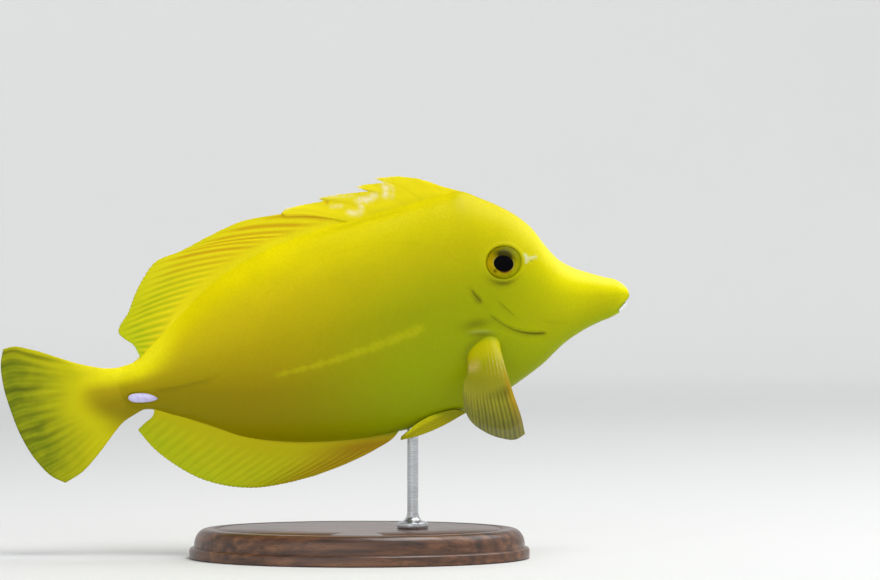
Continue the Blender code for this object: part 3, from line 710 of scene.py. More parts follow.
def shaded_flesh_colour(paint):
    """Yellow of the flesh, with painted light and shade: bright along the back, deepening to olive below and
    lighter on the snout, with painted highlights along the tops of stalk and snout, and blotches and grain.
    """
    x = paint.node("SeparateXYZ", {0: paint.place()}, "X")
    colour, *others = (paint.ramp(paint.value("level"), *tones) for tones in FLESH_TONES_AND_SHADE)
    for tones, (start, end) in zip(others, FLESH_BLENDS):
        colour = paint.mix(paint.span(x, start, end), colour, tones)
    blotches = paint.span(paint.noise(90.0), 0.35, 0.7, 0.0, 0.10)
    colour = paint.mix(blotches, colour, (150, 140, 0))
    grain = paint.span(paint.noise(1500.0, 2.0), 0.3, 0.7, 0.0, 0.08)
    return paint.mix(grain, colour, (120, 112, 0))


def flesh_paint():
    """Skin and scales: the flesh's yellow with its painted light and shade, the stripe, painted shade in the
    creases and hollows, and the pale markings with their painted highlights.
    """
    paint = Paint("flesh", Roughness=0.28, Specular_IOR_Level=0.09)
    colour = shaded_flesh_colour(paint)
    colour = paint.mix(paint.math("MULTIPLY", paint.value("stripe"), 0.36), colour, (214, 208, 20))
    # Painted shade in the creases, grooves, slots, pits and hollows.
    colour = paint.mix(paint.value("crease_shade"), colour, (70, 66, 0))
    # Pale: pale skin with a painted highlight at the nostrils, and a painted highlight on the shoulder ledge.
    paint.give("Base Color", paint.mix(paint.value("pale"), colour, (214, 220, 196)))
    paint.bump(paint.noise(2600.0, 2.0), 0.25, 0.00006)
    return paint.material


def fin_paint(name, middle, margin, streak_and_shade):
    """Fin skin: the flesh's yellow with its painted shade at the root, then two colours out to the margin,
    with a painted highlight on the rays and streaks, on some fins painted shade too.
    """
    paint = Paint(name, Roughness=0.4, Specular_IOR_Level=0.12)
    tone = paint.value("tone")
    film = paint.ramp(tone, (0.3, *middle), (0.95, *margin))
    mottle = paint.span(paint.noise(240.0), 0.35, 0.75, 0.0, 0.2)
    film = paint.mix(mottle, film, middle)
    # The rays a little lighter: a painted highlight along their ridges.
    film = paint.mix(paint.math("MULTIPLY", paint.value("ray"), 0.14), film, (244, 232, 40))
    colour = paint.mix(paint.span(tone, 0.12, 0.42), shaded_flesh_colour(paint), film)
    # Streaks, and on some fins painted shade, in the streak colour.
    colour = paint.mix(paint.value("streak_and_shade"), colour, streak_and_shade)
    worn = paint.span(paint.noise(1000.0, 4.0), 0.36, 0.6, 0.4, 1.0)
    colour = paint.mix(paint.math("MULTIPLY", paint.value("pale"), worn), colour, (246, 234, 190))
    paint.give("Base Color", colour)
    joints = paint.math("SINE", paint.math("MULTIPLY", paint.value("reach"), 260.0))
    joints = paint.math("MULTIPLY", paint.math("MULTIPLY", joints, paint.value("ray")), 0.4)
    paint.bump(paint.math("ADD", paint.noise(1800.0, 2.0), joints), 0.2, 0.00004)
    return paint


# ---------------- skin

SKIN_COLUMNS = 180
SKIN_NODES = ("head", "lower_jaw", "gill_cover_left", "gill_cover_right", "trunk", "tail_stalk")


def skin_rows():
    """Places along the body for the skin's rings, close together on the head and over the snout's tip."""
    along = np.linspace(0, SNOUT_CAP_FROM, 2000)
    x = flesh(along, np.full(len(along), 0.25))[:, 0]
    per_mm = np.interp(x, (-3, 8, 96, 104, 122, 134, 143.5), (1.8, 1.5, 1.5, 2.2, 2.2, 2.4, 4.0))
    travelled = np.concatenate([[0], np.cumsum(np.diff(x) * (per_mm[1:] + per_mm[:-1]) / 2)])
    rings = np.interp(np.arange(0, travelled[-1], 1.0), travelled, along)
    return np.concatenate([rings, np.linspace(SNOUT_CAP_FROM, 1, SNOUT_CAP_ROWS)])


def detail_level(along, around):
    """How many times the skin's grid is halved here: most at the eye, gill slot, mouth and scalpel."""
    x, _, z = flesh(along, around).T
    r = eye_radius(x, z)
    gill, mouth, ledge, fold = (
        abs(near_line(x, z, line)[0]) for line in (GILL_EDGE, MOUTH_SLIT, SHOULDER_LEDGE, CHEEK_FOLD)
    )
    scalpel = abs(scalpel_distance(x, z))
    once = (abs(r - 1.05) < 0.3) | (abs(r - 1.3) < 0.3) | (gill < 2.2) | (x > 134) | (scalpel < 1.2)
    once |= (ledge < 2.2) | (fold < 1.0)
    twice = (abs(r - 1.03) < 0.13) | (gill < 0.75) | ((mouth < 0.7) & (x > 136)) | (scalpel < 0.5)
    for at_x, at_z, _ in NOSTRILS:
        twice |= np.hypot(x - at_x, z - at_z) < 1.5
    return once.astype(int) + twice


def halve_where(grid, level):
    """Splits the grid's faces that need more halvings than this; its flat x and y are along and around."""
    corners = np.array([vertex.co[:2] for vertex in grid.verts])
    wanted = detail_level(corners[:, 0], corners[:, 1]) > level
    edges = [e for e in grid.edges if wanted[e.verts[0].index] and wanted[e.verts[1].index]]
    bmesh.ops.subdivide_edges(grid, edges=edges, cuts=1, use_grid_fill=True)
    grid.verts.index_update()


def make_skin(finish):
    """One skin over head, jaw, gill covers, trunk and tail stalk."""
    rows = skin_rows()
    columns = np.linspace(0, 1, SKIN_COLUMNS + 1)
    grid = bmesh.new()
    corners = [grid.verts.new((a, b, 0.0)) for a in rows for b in columns]
    grid.verts.index_update()
    for face in grid_faces(len(rows), len(columns)):
        grid.faces.new([corners[i] for i in face])
    for level in (0, 1):
        halve_where(grid, level)
    places = np.array([vertex.co[:2] for vertex in grid.verts])
    faces = [[vertex.index for vertex in face.verts] for face in grid.faces]
    grid.free()
    along, around = places.T
    values = markings(flesh(along, around), around)
    points, chart = to_world(skin_points(along, around)), places[np.concatenate(faces)]
    skin = add_piece("skin", points, faces, finish, SKIN_NODES, values, chart)
    turn_outwards(skin, seam=np.flatnonzero((around == 0) | (around == 1) | (along >= rows[-1])))


# ---------------- scales

# One scale in units of its width: sideways, back from its root, and up. It has a rim, a crown and a foot
SCALE_RIM = (
    (-0.40, 0.00, -0.12), (-0.53, 0.50, 0.00), (-0.44, 1.00, 0.07), (0.00, 1.26, 0.10), (0.44, 1.00, 0.07),
    (0.53, 0.50, 0.00), (0.40, 0.00, -0.12),
)
SCALE_CROWN = (0.0, 0.62, 0.085)
SCALE_FOOT = (0.0, 0.70, -0.14)
SCALE_POINTS = np.array([SCALE_CROWN, *SCALE_RIM, SCALE_FOOT])
SCALE_PATCH = 0.003
SCALE_ROW_STEP = 0.72
SCALE_SEEDS = {1: 7, -1: 8}
SCALE_PIECE_EDGES = (-5, 46, 82, 103, 150)
SCALE_WIDTHS = (
    (-3, 0.28), (3, 0.44), (12, 0.52), (30, 0.64), (94, 0.64), (106, 0.44), (120, 0.38), (143, 0.30),
)


def scale_size(x):
    """Width of the scales in millimetres: finest on the face and at the tail's root."""
    return np.interp(x, *np.array(SCALE_WIDTHS).T)


def scale_roots():
    """Places (along, around) of the left side's scales in staggered rows, with each one's size."""
    along_table = np.linspace(0, 1, 2000)
    x_table = flesh(along_table, np.full(2000, 0.25))[:, 0]
    around = np.linspace(0.001, 0.499, 400)
    places = []
    x = x_table[0] + 1.0
    while x < x_table[-1] - 2.4:
        along = np.interp(x, x_table, along_table)
        size = float(scale_size(x))
        ring = flesh(np.full(400, along), around)
        girth = np.concatenate([[0], np.cumsum(np.linalg.norm(np.diff(ring, axis=0), axis=1))])
        first = np.interp(0.25, around, girth) % size - size + (len(places) % 2) * size / 2
        stops = np.arange(first, girth[-1], size)
        spots = np.interp(stops[stops > 0], girth, around)
        places.append(np.column_stack([np.full(len(spots), along), spots, np.full(len(spots), size)]))
        x += size * SCALE_ROW_STEP
    return np.concatenate(places)


def scaled(points):
    """Whether the skin has scales here: none on lids, nostrils, lips and scalpel or in the gill slot."""
    x, _, z = points.T
    bare = eye_radius(x, z) < 1.24
    bare |= (abs(near_line(x, z, MOUTH_SLIT)[0]) < 1.3) & (x > 137)
    bare |= (x > 139.4) & (z < -3.0)
    bare |= scalpel_distance(x, z) < 0.45
    gill, share = near_line(x, z, GILL_EDGE)
    bare |= (abs(gill + 0.1) < 0.4) & (sum(gill_slots(share)) > 0.3)
    for at_x, at_z, size in NOSTRILS:
        bare |= np.hypot(x - at_x, z - at_z) < 2.6 * size
    return ~bare


def scale_axes(along, around, step_along=0.0015, step_around=0.0012):
    """Directions back along the skin, across it and out of it at each place."""
    back = skin_points(np.maximum(along - step_along, 0), around)
    back = unit(back - skin_points(np.minimum(along + step_along, 1), around))
    across = skin_points(along, (around + step_around) % 1) - skin_points(along, (around - step_around) % 1)
    normal = unit(np.cross(back, across))
    return back, np.cross(normal, back), normal


def scale_points(along, around, size, rng):
    """Points of each scale in turn, with its lie, size and lift varied a little."""
    back, across, normal = scale_axes(along, around)
    twist = rng.normal(0, 0.05, len(along))[:, None]
    back, across = back + twist * across, across - twist * back
    size = size * rng.normal(1, 0.04, len(along))
    lift = rng.normal(0, 0.012, len(along))[:, None, None]
    shape = SCALE_POINTS + lift * (0, 0, 1) * (SCALE_POINTS[:, 1:2] > 0.4)
    sideways, down, up = np.split(shape * size[:, None, None], 3, axis=2)
    points = skin_points(along, around)[:, None] + sideways * across[:, None] + down * back[:, None]
    return points + up * normal[:, None]


def scale_fans():
    """Faces of one scale: a fan from its crown to its rim and one from its foot."""
    rim = len(SCALE_RIM)
    pairs = [(1 + i, 1 + (i + 1) % rim) for i in range(rim)]
    upper = [(0, here, after) for here, after in pairs]
    return np.array(upper + [(rim + 1, after, here) for here, after in pairs])


def make_scales(side, word, finish):
    """The scales of one side, in joined pieces from tail to snout."""
    along, around, size = scale_roots().T
    around = around if side > 0 else 1 - around
    keep = scaled(flesh(along, around))
    along, around, size = along[keep], around[keep], size[keep]
    form = flesh(along, around)
    values = markings(form, around)
    points = scale_points(along, around, size, np.random.default_rng(SCALE_SEEDS[side]))
    patch = SCALE_POINTS[:, 1::-1] * (-1, 1) * SCALE_PATCH / 1.2
    charts = np.column_stack([along, around])[:, None] + patch
    per_scale = len(SCALE_POINTS)
    for number, (low, high) in enumerate(zip(SCALE_PIECE_EDGES, SCALE_PIECE_EDGES[1:]), 1):
        chosen = np.flatnonzero((form[:, 0] >= low) & (form[:, 0] < high))
        faces = (np.arange(len(chosen))[:, None, None] * per_scale + scale_fans()).reshape(-1, 3)
        own = {key: np.repeat(numbers[chosen], per_scale) for key, numbers in values.items()}
        chart = charts[chosen].reshape(-1, 2)[faces.ravel()]
        corners = to_world(points[chosen].reshape(-1, 3))
        name = f"scales_{word}_{number}"
        piece = add_piece(name, corners, faces, finish, values=own, chart=chart)
        piece.data.set_sharp_from_angle(angle=CREASE_ANGLE)


# ---------------- fins


def fin_places(rows, columns):
    """Reach from root to margin and place from the first ray to the last, over a fin's grid."""
    return np.meshgrid(np.linspace(0, 1, rows), np.linspace(0, 1, columns), indexing="ij")


def edge_curve(points, side=1):
    """A curve through an edge's points, in x and z of the middle plane or in x, y out from it and z."""
    points = np.asarray(points, float)
    out = side * points[:, 1] if points.shape[1] == 3 else 0 * points[:, 0]
    return curve_through(np.column_stack([points[:, 0], out, points[:, -1]]))


def fin_grid(edges, rows, columns, side=1):
    """A grid of points filling a fin's root, margin, first and last edges, and fin_places() over it."""
    reach, across = fin_places(rows, columns)
    root, margin, first, last = (edge_curve(edge, side) for edge in edges)
    down, over = reach[..., None], across[..., None]
    root, margin, first, last = root(across[0]), margin(across[0]), first(reach[:, 0]), last(reach[:, 0])
    ends = (1 - down) * root + down * margin
    sides = (1 - over) * first[:, None] + over * last[:, None]
    corners = (1 - down) * ((1 - over) * root[0] + over * root[-1])
    corners = corners + down * ((1 - over) * margin[0] + over * margin[-1])
    return ends + sides - corners, reach, across


def ray_ridges(phase, reach, fork_at, width=0.22, root=(0.15, 0.45)):
    """How far each place lies on a ray, 0..1. Rays are a whole phase apart, rise from the root and fork."""
    offset = phase % 1 - 0.5
    fork = 0.23 * np.clip((reach - fork_at) / (1 - fork_at), 0, 1)
    near = np.minimum(abs(offset - fork), abs(offset + fork))
    return bell(near, width) * ease(*root, reach)


def notched(grid, reach, ray):
    """The grid with its margin drawn in between the rays."""
    pull = RAY_NOTCH * (1 - ray[-1:]) * reach**8
    return grid + pull[..., None] * (grid[:1] - grid)


def bowed(roots, tips, reach, bow):
    """A grid ruled from roots to tips, its lines bowing upwards by a share of their length."""
    lean = tips - roots
    upwards = np.column_stack([lean[:, 2], 0 * lean[:, 1], -lean[:, 0]])
    bow = 4 * bow * reach * (1 - reach)
    return roots + reach[..., None] * lean + bow[..., None] * upwards


def fin_half(reach, ray, root_half, ray_half, film_half, flare=0.3):
    """Half thickness of a fin: rays over film, thinning to the margin, on a thick smooth root."""
    blade = (film_half + (ray_half - film_half) * ray) * (1 - 0.35 * reach)
    return blade + (root_half - film_half) * bell(reach, flare)


def fin_chart(rows, columns, rim_length):
    """The map of a fin: its two sides next to each other, with its rim in a strip above them."""
    s, t = np.meshgrid(np.linspace(0, 0.96, rows), np.linspace(0, 0.49, columns), indexing="ij")
    spots = np.column_stack([t.ravel(), s.ravel()])
    spots = np.concatenate([spots, spots + (0.51, 0.0)])
    places = np.arange(rim_length + 1) / (rim_length + 1)
    strip = [[(a, 0.975), (b, 0.975), (b, 0.995), (a, 0.995)] for a, b in zip(places, places[1:])]
    return spots, np.array(strip).reshape(-1, 2)


def add_fin(name, node, slot, grid, half, paint, sway=None, **values):
    """A closed fin about a grid of points, with half its thickness and its paint's values at each."""
    rows, columns, _ = grid.shape
    normals = unit(np.cross(np.gradient(grid, axis=0), np.gradient(grid, axis=1)))
    if sway is not None:
        normals[:] = (0.0, 1.0, 0.0)
        grid = grid + sway[..., None] * (0.0, 1.0, 0.0)
    offset = normals * half[..., None]
    points = np.concatenate([(grid + offset).reshape(-1, 3), (grid - offset).reshape(-1, 3)])
    places = np.arange(rows * columns).reshape(rows, columns)
    rim = np.concatenate([places[0], places[1:, -1], places[-1, -2::-1], places[-2:0:-1, 0]])
    before, other = np.roll(rim, 1), rows * columns
    sides = np.concatenate([grid_faces(rows, columns), grid_faces(rows, columns, start=other)[:, ::-1]])
    faces = np.concatenate([sides, np.column_stack([before, rim, other + rim, other + before])])
    spots, strip = fin_chart(rows, columns, len(rim))
    chart = np.concatenate([spots[sides.ravel()], strip])
    values = {"tone": values["reach"], "streak_and_shade": 0.0, "pale": 0.0, **values}
    doubled = {key: np.tile((value + 0 * half).ravel(), 2) for key, value in values.items()}
    turn_outwards(add_piece(name, to_world(points), faces, paint.material, [node], doubled, chart))


def spiny_grid(rows, per_span):
    """The spiny dorsal fin under its ragged margin, fin_places() over it and each column's table row."""
    table, stations = np.asarray(SPINY_DORSAL), np.asarray(STATIONS)
    spans = len(table) - 1
    knots = np.linspace(0, spans, spans * per_span + 1)
    root_x, margin_x, margin_z = (np.interp(knots, np.arange(spans + 1), column) for column in table.T)
    root_z = np.interp(root_x, stations[:, 0], stations[:, 1]) - SPINE_ROOT_DEPTH
    fray = 0.12 * np.sin(knots * 21) * np.sin(knots * 7.7)
    roots = np.column_stack([root_x, 0 * knots, root_z])
    tips = np.column_stack([margin_x, 0 * knots, margin_z - abs(fray)])
    reach, across = fin_places(rows, len(knots))
    return bowed(roots, tips, reach, SPINE_BOW), reach, across, knots


def worn_and_highlight_marks(x, z):
    """How worn the spiny dorsal fin is at each place, 0..1, with one painted highlight along a web's top
    edge.
    """
    worn = 0 * x
    for strength, half_width, line in WORN_PLACES_AND_HIGHLIGHT:
        d, share = near_line(x, z, line)
        worn = np.maximum(worn, strength * bell(d, half_width) * ease(0.0, 0.1, fade_ends(share)))
    return worn


def make_spiny_dorsal():
    grid, reach, across, knots = spiny_grid(40, 12)
    ray = sum(bell(knots - number, 0.5) for number in SPINE_ROWS) * ease(0.45, 0.9, reach)
    x, _, z = np.moveaxis(grid, 2, 0)
    pale = np.maximum(0.8 * ray * ease(0.93, 1.0, reach), worn_and_highlight_marks(x, z))
    spot = 0.8 * bell(np.hypot(x - FIN_SPOT[0], z - FIN_SPOT[1]), 0.5)
    half = fin_half(reach, ray, 0.9, 0.4, 0.3) + 0.12 * ease(0.8, 0.9, across)
    streak_and_shade = 0.1 * (0.5 + 0.5 * np.sin(across * 70 + 3 * reach)) * ease(0.3, 0.6, reach)
    # A dark-gold band along the rear edge: painted shade where the last web lies over the soft fin.
    streak_and_shade = np.maximum(streak_and_shade + 0.45 * ease(0.93, 1.0, across) * ease(0.45, 0.7, reach), spot)
    paint = fin_paint("spiny_dorsal", (232, 216, 0), (238, 224, 20), (206, 152, 0))
    sway = 0.2 * reach**2 * np.sin(9 * across) * ease(1.0, 0.85, across)
    values = {"reach": reach, "ray": ray, "level": BACK_LEVEL, "streak_and_shade": streak_and_shade, "pale": pale}
    add_fin("spiny_dorsal", "dorsal_fin_spiny", "fin", grid, half, paint, sway, **values)


def make_soft_dorsal():
    rays, per_ray, rows = 20, 12, 44
    reach, across = fin_places(rows, rays * per_ray + 1)
    edges = zip((SOFT_DORSAL_ROOT, SOFT_DORSAL_MARGIN), SOFT_DORSAL_CROWDING)
    roots, tips = (edge_curve(edge)(across[0] ** power) for edge, power in edges)
    grid = bowed(roots, tips, reach, SOFT_RAY_BOW * ease(1.0, 0.6, across))
    ray = ray_ridges(across * rays, reach, 0.75, width=0.27, root=(0.2, 0.4))
    grid = notched(grid, reach, ray)
    half = fin_half(reach, ray, 0.85, 0.37, 0.27) * (0.6 + 0.4 * ease(0.0, 0.12, across))
    golden = ease(0.5, 0.2, across) * (0.8 + 0.2 * np.sin(60 * across))
    between = (1 - ray) ** 1.5 * ease(0.2, 0.42, reach) * (1 - 0.7 * ease(0.75, 0.95, reach))
    tone = reach * (0.4 + 0.6 * across) + 0.4 * between * ease(0.2, 0.5, across)
    paint = fin_paint("soft_dorsal", (232, 216, 0), (166, 188, 0), (196, 136, 0))
    sway = 0.35 * reach**2 * np.sin(11 * across) * ease(0.0, 0.15, across)
    streak_and_shade = between * (0.1 + 0.75 * golden)
    values = {"reach": reach, "ray": ray, "level": BACK_LEVEL, "streak_and_shade": streak_and_shade, "tone": tone}
    add_fin("soft_dorsal", "dorsal_fin_soft", "fin", grid, half, paint, sway, **values)


def make_anal():
    rays, per_ray, rows = 22, 10, 40
    edges = (ANAL_ROOT, ANAL_MARGIN, ANAL_FRONT, ANAL_REAR)
    grid, reach, across = fin_grid(edges, rows, rays * per_ray + 1)
    ray = ray_ridges(across * rays, reach, 0.6, root=(0.2, 0.5))
    grid = notched(grid, reach, ray)
    half = fin_half(reach, ray, 0.85, 0.38, 0.26)
    brown = ease(0.4, 0.08, across)
    streak_and_shade = ((0.75 - 0.25 * ray) * brown + 0.06 * (1 - ray)) * ease(0.0, 0.22, reach)
    tone = ease(0.03, 0.16, reach) * (0.3 + 0.5 * reach + 0.3 * across * reach)
    paint = fin_paint("anal_fin", (210, 198, 0), (166, 182, 0), (158, 112, 0))
    sway = 0.35 * reach**2 * np.sin(10 * across)
    values = {"reach": reach, "ray": ray, "level": 0.2, "streak_and_shade": streak_and_shade, "tone": tone}
    add_fin("anal_fan", "anal_fin", "fin", grid, half, paint, sway, **values)


def make_tail_fin():
    rays, per_ray, rows = 17, 12, 56
    edges = (TAIL_ROOT, TAIL_MARGIN, TAIL_TOP_EDGE, TAIL_LOWER_EDGE)
    grid, reach, across = fin_grid(edges, rows, rays * per_ray + 1)
    grid[..., 0] += TAIL_ROOT_DEPTH * (1 - reach) ** 10
    ray = ray_ridges(across * rays, reach, 0.45, root=(0.3, 0.65))
    half = fin_half(reach, ray, 1.7, 0.34, 0.29, flare=0.22)
    half = half * (0.35 + 0.65 * np.sqrt(1 - abs(2 * across - 1) ** 3))
    bright_edge = bell(across, 0.09) + 0.6 * bell(1 - across, 0.15)
    waves = TAIL_BANDS * across + 0.2 * np.sin(9 * across) + 0.1 * np.sin(14 * reach + 20 * across)
    band = (0.65 + 0.3 * np.sin(23 * across + 1)) * (0.5 - 0.5 * np.cos(2 * math.pi * waves)) ** 1.5
    outer = ease(0.4, 0.85, reach + 0.08 * np.sin(40 * across)) * ease(0.85, 0.62, across)
    # The root takes the flesh's colours with their painted shade, darker below.
    level = np.clip(0.5 + (grid[..., 2] + 0.2) / (12.7 + 24 * reach), 0, 1)
    paint = fin_paint("tail_fin", (212, 204, 0), (104, 124, 0), (74, 84, 0))
    sway = 0.4 * reach**2 * np.sin(7 * across)
    values = {"reach": reach, "ray": ray, "level": level, "streak_and_shade": 0.7 * band * outer}
    values["tone"] = reach * (1.12 - 0.5 * bright_edge)
    add_fin("tail_fan", "tail_fin", "fin", grid, half, paint, sway, **values)


def pectoral_paint():
    """Fin skin with partly clear film between the rays, painted dark there as shade seen through the slits.
    """
    paint = fin_paint("pectoral_fin", (154, 150, 0), (88, 92, 52), (200, 140, 10))
    film = paint.shader.inputs["Base Color"].links[0].from_socket
    paint.give("Base Color", paint.mix(paint.value("slit_shade"), film, (40, 42, 18)))
    paint.give("Alpha", paint.math("SUBTRACT", 1.0, paint.value("clear")))
    return paint


def pectoral_values(reach, across, ray):
    """Values of the pectoral fin's paint: slits between its rays painted dark as shade, the root's lobe
    painted lighter as lit from above, and light lines near its root.
    """
    outer = reach - 0.24 * across
    slit = (1 - ray) ** 1.2 * ease(0.46, 0.58, outer) * ease(0.0, 0.1, across)
    slit = slit * (1 - 0.8 * ease(0.55, 0.85, across))
    leading = ease(0.16, 0.02, across) * bell(reach - 0.6, 0.25)
    lines = (0.5 + 0.5 * np.sin(90 * across)) ** 4 * bell(reach - 0.3, 0.1) * ease(0.5, 0.15, across)
    light = np.maximum(lines, bell(reach - 0.29, 0.06) * window(0.4, 0.7, 0.85, 1, across))
    return {
        "reach": reach,
        "ray": ray,
        # The root's lobe painted lighter, as its top is lit from above.
        "level": 0.4 + 0.35 * window(0.0, 0.1, 0.2, 0.4, reach),
        "streak_and_shade": np.maximum(0.4 * leading, 0.3 * light),
        "pale": 0.2 * light,
        "clear": np.clip(0.1 * slit + 0.2 * ease(0.6, 0.85, outer), 0, 0.5),
        # Slits painted dark: painted shade for the dark seen through them.
        "slit_shade": 0.9 * slit,
        "tone": 1.1 * reach,
    }


def make_pectorals():
    paint = pectoral_paint()
    rays, per_ray, rows = 8, 16, 64
    edges = (PECTORAL_ROOT, PECTORAL_MARGIN, PECTORAL_LEADING, PECTORAL_TRAILING)
    for side, word in SIDES:
        grid, reach, across = fin_grid(edges, rows, rays * per_ray + 1, side)
        ray = ray_ridges(across * rays, reach, 2.0, width=0.3, root=(0.45, 0.7))
        plump = np.sqrt(1 - abs(2 * across - 1) ** 3)
        half = fin_half(reach, ray, 0.3 + 1.6 * plump, 0.26, 0.17, flare=0.25)
        values = pectoral_values(reach, across, ray)
        add_fin(f"pectoral_{word}", f"pectoral_fin_{word}", "pectoral_fin", grid, half, paint, **values)


def make_pelvics():
    paint = fin_paint("pelvic_fin", (206, 200, 0), (214, 212, 4), (130, 120, 0))
    rays, per_ray, rows = 6, 9, 40
    edges = (PELVIC_ROOT, PELVIC_TIP, PELVIC_LOWER, PELVIC_UPPER)
    for side, word in SIDES:
        grid, reach, across = fin_grid(edges, rows, rays * per_ray + 1, side)
        ray = ray_ridges(across * rays, reach, 0.6)
        half = fin_half(reach, ray, 0.6, 0.32, 0.2)
        # Darker between the rays; painted shade at the root, with the belly's shaded colours, and along the
        # lower side.
        streak_and_shade = 0.35 * (1 - ray) * ease(0.2, 0.5, reach) + 0.7 * ease(0.3, 0.05, reach)
        streak_and_shade = np.maximum(streak_and_shade, 0.65 * ease(0.85, 0.45, across))
        level = 0.05 + 0.65 * ease(0.15, 0.35, reach)
        values = {"reach": reach, "ray": ray, "level": level, "streak_and_shade": streak_and_shade}
        add_fin(f"pelvic_{word}", f"pelvic_fin_{word}", "fin", grid, half, paint, **values)


# ---------------- eyes, teeth, tail spines


def eye_paint():
    """A black pupil in an olive-gold iris with dark patches and the lid's painted shadow at its top, and a
    dark outer edge of painted shade, darkest towards the brow.
    """
    paint = Paint("eye", Roughness=0.4, Specular_IOR_Level=0.03, Coat_Weight=0.02, Coat_Roughness=0.1)
    outwards = paint.span(paint.value("pupil"), 1.0, 1.9)
    iris = paint.ramp(outwards, (0.0, 170, 160, 0), (0.5, 158, 158, 0), (1.0, 140, 144, 0))
    iris = paint.mix(paint.value("gold"), iris, (196, 166, 0))
    iris = paint.mix(paint.span(paint.noise(900.0, 4.0), 0.35, 0.7, 0.0, 0.35), iris, (112, 104, 0))
    iris = paint.mix(paint.value("warm"), iris, (122, 66, 10))
    iris = paint.mix(paint.value("ring"), iris, (150, 158, 110))
    iris = paint.mix(paint.value("shade"), iris, (38, 36, 0))
    colour = paint.mix(paint.span(paint.value("pupil"), 0.98, 1.02), (2, 2, 4), iris)
    # Dark outer edge: painted shade of the lid, darkest towards the brow.
    paint.give("Base Color", paint.mix(paint.value("rim"), colour, (56, 56, 0)))
    return paint.material


def eye_values(across, up, rim):
    """Values of the eye's paint, at places measured from the pupil's centre and outwards to the rim."""
    pupil = np.hypot((across + 0.14 * up) / PUPIL_HALF[0], up / PUPIL_HALF[1])
    beyond = np.maximum(pupil - 1, 0)
    turn = np.degrees(np.arctan2(up, across))

    def towards(direction, spread):
        return bell((turn - direction + 180) % 360 - 180, spread)

    # A dark crescent above the pupil and a dark spot below left; the darkening towards the top is the lid's
    # painted shadow.
    shade = 1.4 * towards(66, 62) * bell(beyond, 0.6) + 0.3 * ease(1.8, 3.6, up)
    shade += 0.8 * bell(np.hypot(across + 2.6, up + 1.5), 0.5)
    return {
        "pupil": pupil,
        "gold": 0.9 * towards(165, 60),
        "warm": towards(-95, 45) * bell(beyond - 0.05, 0.12),
        "ring": 0.3 * (towards(140, 40) + towards(-10, 40)) * bell(beyond - 0.05, 0.06),
        "shade": np.clip(shade, 0, 0.95),
        # Dark outer edge: painted shade of the lid, darkest towards the brow.
        "rim": ease(0.92, 0.99, rim) * (0.2 + 0.7 * towards(BROW_TURN, 75)),
    }


def make_eye(side, word, finish):
    """An eyeball that follows the head's curve, nearly flush, with the lens swelling in the pupil."""
    rings, columns = 40, 96
    radius = np.concatenate([np.linspace(0.02, 0.985, rings), [1.0, 0.99]])
    depth = np.concatenate([EYE_PROUD * (1 - radius[:-1] ** 3.0) - 0.35 * radius[:-1] ** 6, [-2.0]])
    across = (radius[:, None] * np.cos(circle(columns)) * EYE_HALF[0]).ravel()
    up = (radius[:, None] * np.sin(circle(columns)) * EYE_HALF[1]).ravel()
    from_pupil = np.hypot(across - PUPIL_OFFSET[0], up - PUPIL_OFFSET[1])
    height = np.repeat(depth, columns) + LENS_PROUD * bell(from_pupil, LENS_WIDTH)
    x, z = across + EYE_CENTRE[0], up + EYE_CENTRE[1]
    y = flesh_half_width(x, z) + height - COAT_DEPTH
    base = flesh_half_width(*np.array(EYE_CENTRE)[:, None])[0]
    crown_y = base + EYE_PROUD + LENS_PROUD * bell(0.4, LENS_WIDTH) - COAT_DEPTH
    ends = [(EYE_CENTRE[0], side * end_y, EYE_CENTRE[1]) for end_y in (crown_y, base - 3.0)]
    points = np.concatenate([np.column_stack([x, side * y, z]), ends])
    from_pupil_x = np.append(across, [0, 0]) - PUPIL_OFFSET[0]
    from_pupil_z = np.append(up, [0, 0]) - PUPIL_OFFSET[1]
    values = eye_values(from_pupil_x, from_pupil_z, np.append(np.repeat(radius, columns), [0, 1]))
    name, faces = f"eyeball_{word}", tube_faces(len(radius), columns)
    turn_outwards(add_piece(name, to_world(points), faces, finish, [f"eye_{word}"], values))


def hard_paint(name, light, dark, **constants):
    """Hard glossy parts: two shades mottled together, with a faint bump."""
    paint = Paint(name, **constants)
    share = paint.span(paint.noise(700.0, 4.0), 0.3, 0.75)
    paint.give("Base Color", paint.mix(share, light, dark))
    paint.bump(paint.noise(2200.0, 2.0), 0.15, 0.00004)
    return paint.material


def make_teeth():
    """The row of small close-set teeth between the lips, round the front of the jaw and sloping with it."""
    reach_x, reach_y = JAW_HALF
    along = (1 - np.cos(np.linspace(0.3, math.pi - 0.3, 7))) / 2
    size = np.sqrt(1 - (2 * along - 1) ** 4)
    points, faces = [], []
    for number, turn in enumerate(np.radians(TOOTH_TURNS)):
        out = np.array([math.cos(turn), math.sin(turn) * reach_y / reach_x, 0.0])
        place = np.array([JAW_CENTRE, 0.0, -JAW_SLOPE * reach_x * (1 - math.cos(turn))]) + reach_x * out
        top, foot = (place + lean * out + (0, 0, height) for lean, height in (TOOTH_TOP, TOOTH_FOOT))
        axis = unit(top - foot)
        wide = np.array([-math.sin(turn) * reach_x, math.cos(turn) * reach_y, 0.0])
        wide = unit(wide - axis * wide.dot(axis))
        thick = np.cross(axis, wide)
        halves = TOOTH_HALF[0] * wide, TOOTH_HALF[1] * thick
        tooth, tooth_faces = swept_bar(foot, top, *halves, along, size, 12)
        faces += [[i + number * len(tooth) for i in face] for face in tooth_faces]
        points.append(tooth)
    points = to_world(np.concatenate(points))
    finish = hard_paint("teeth", (236, 238, 240), (214, 214, 206), Roughness=0.22)
    turn_outwards(add_piece("tooth_row", points, faces, finish, ["teeth"]))


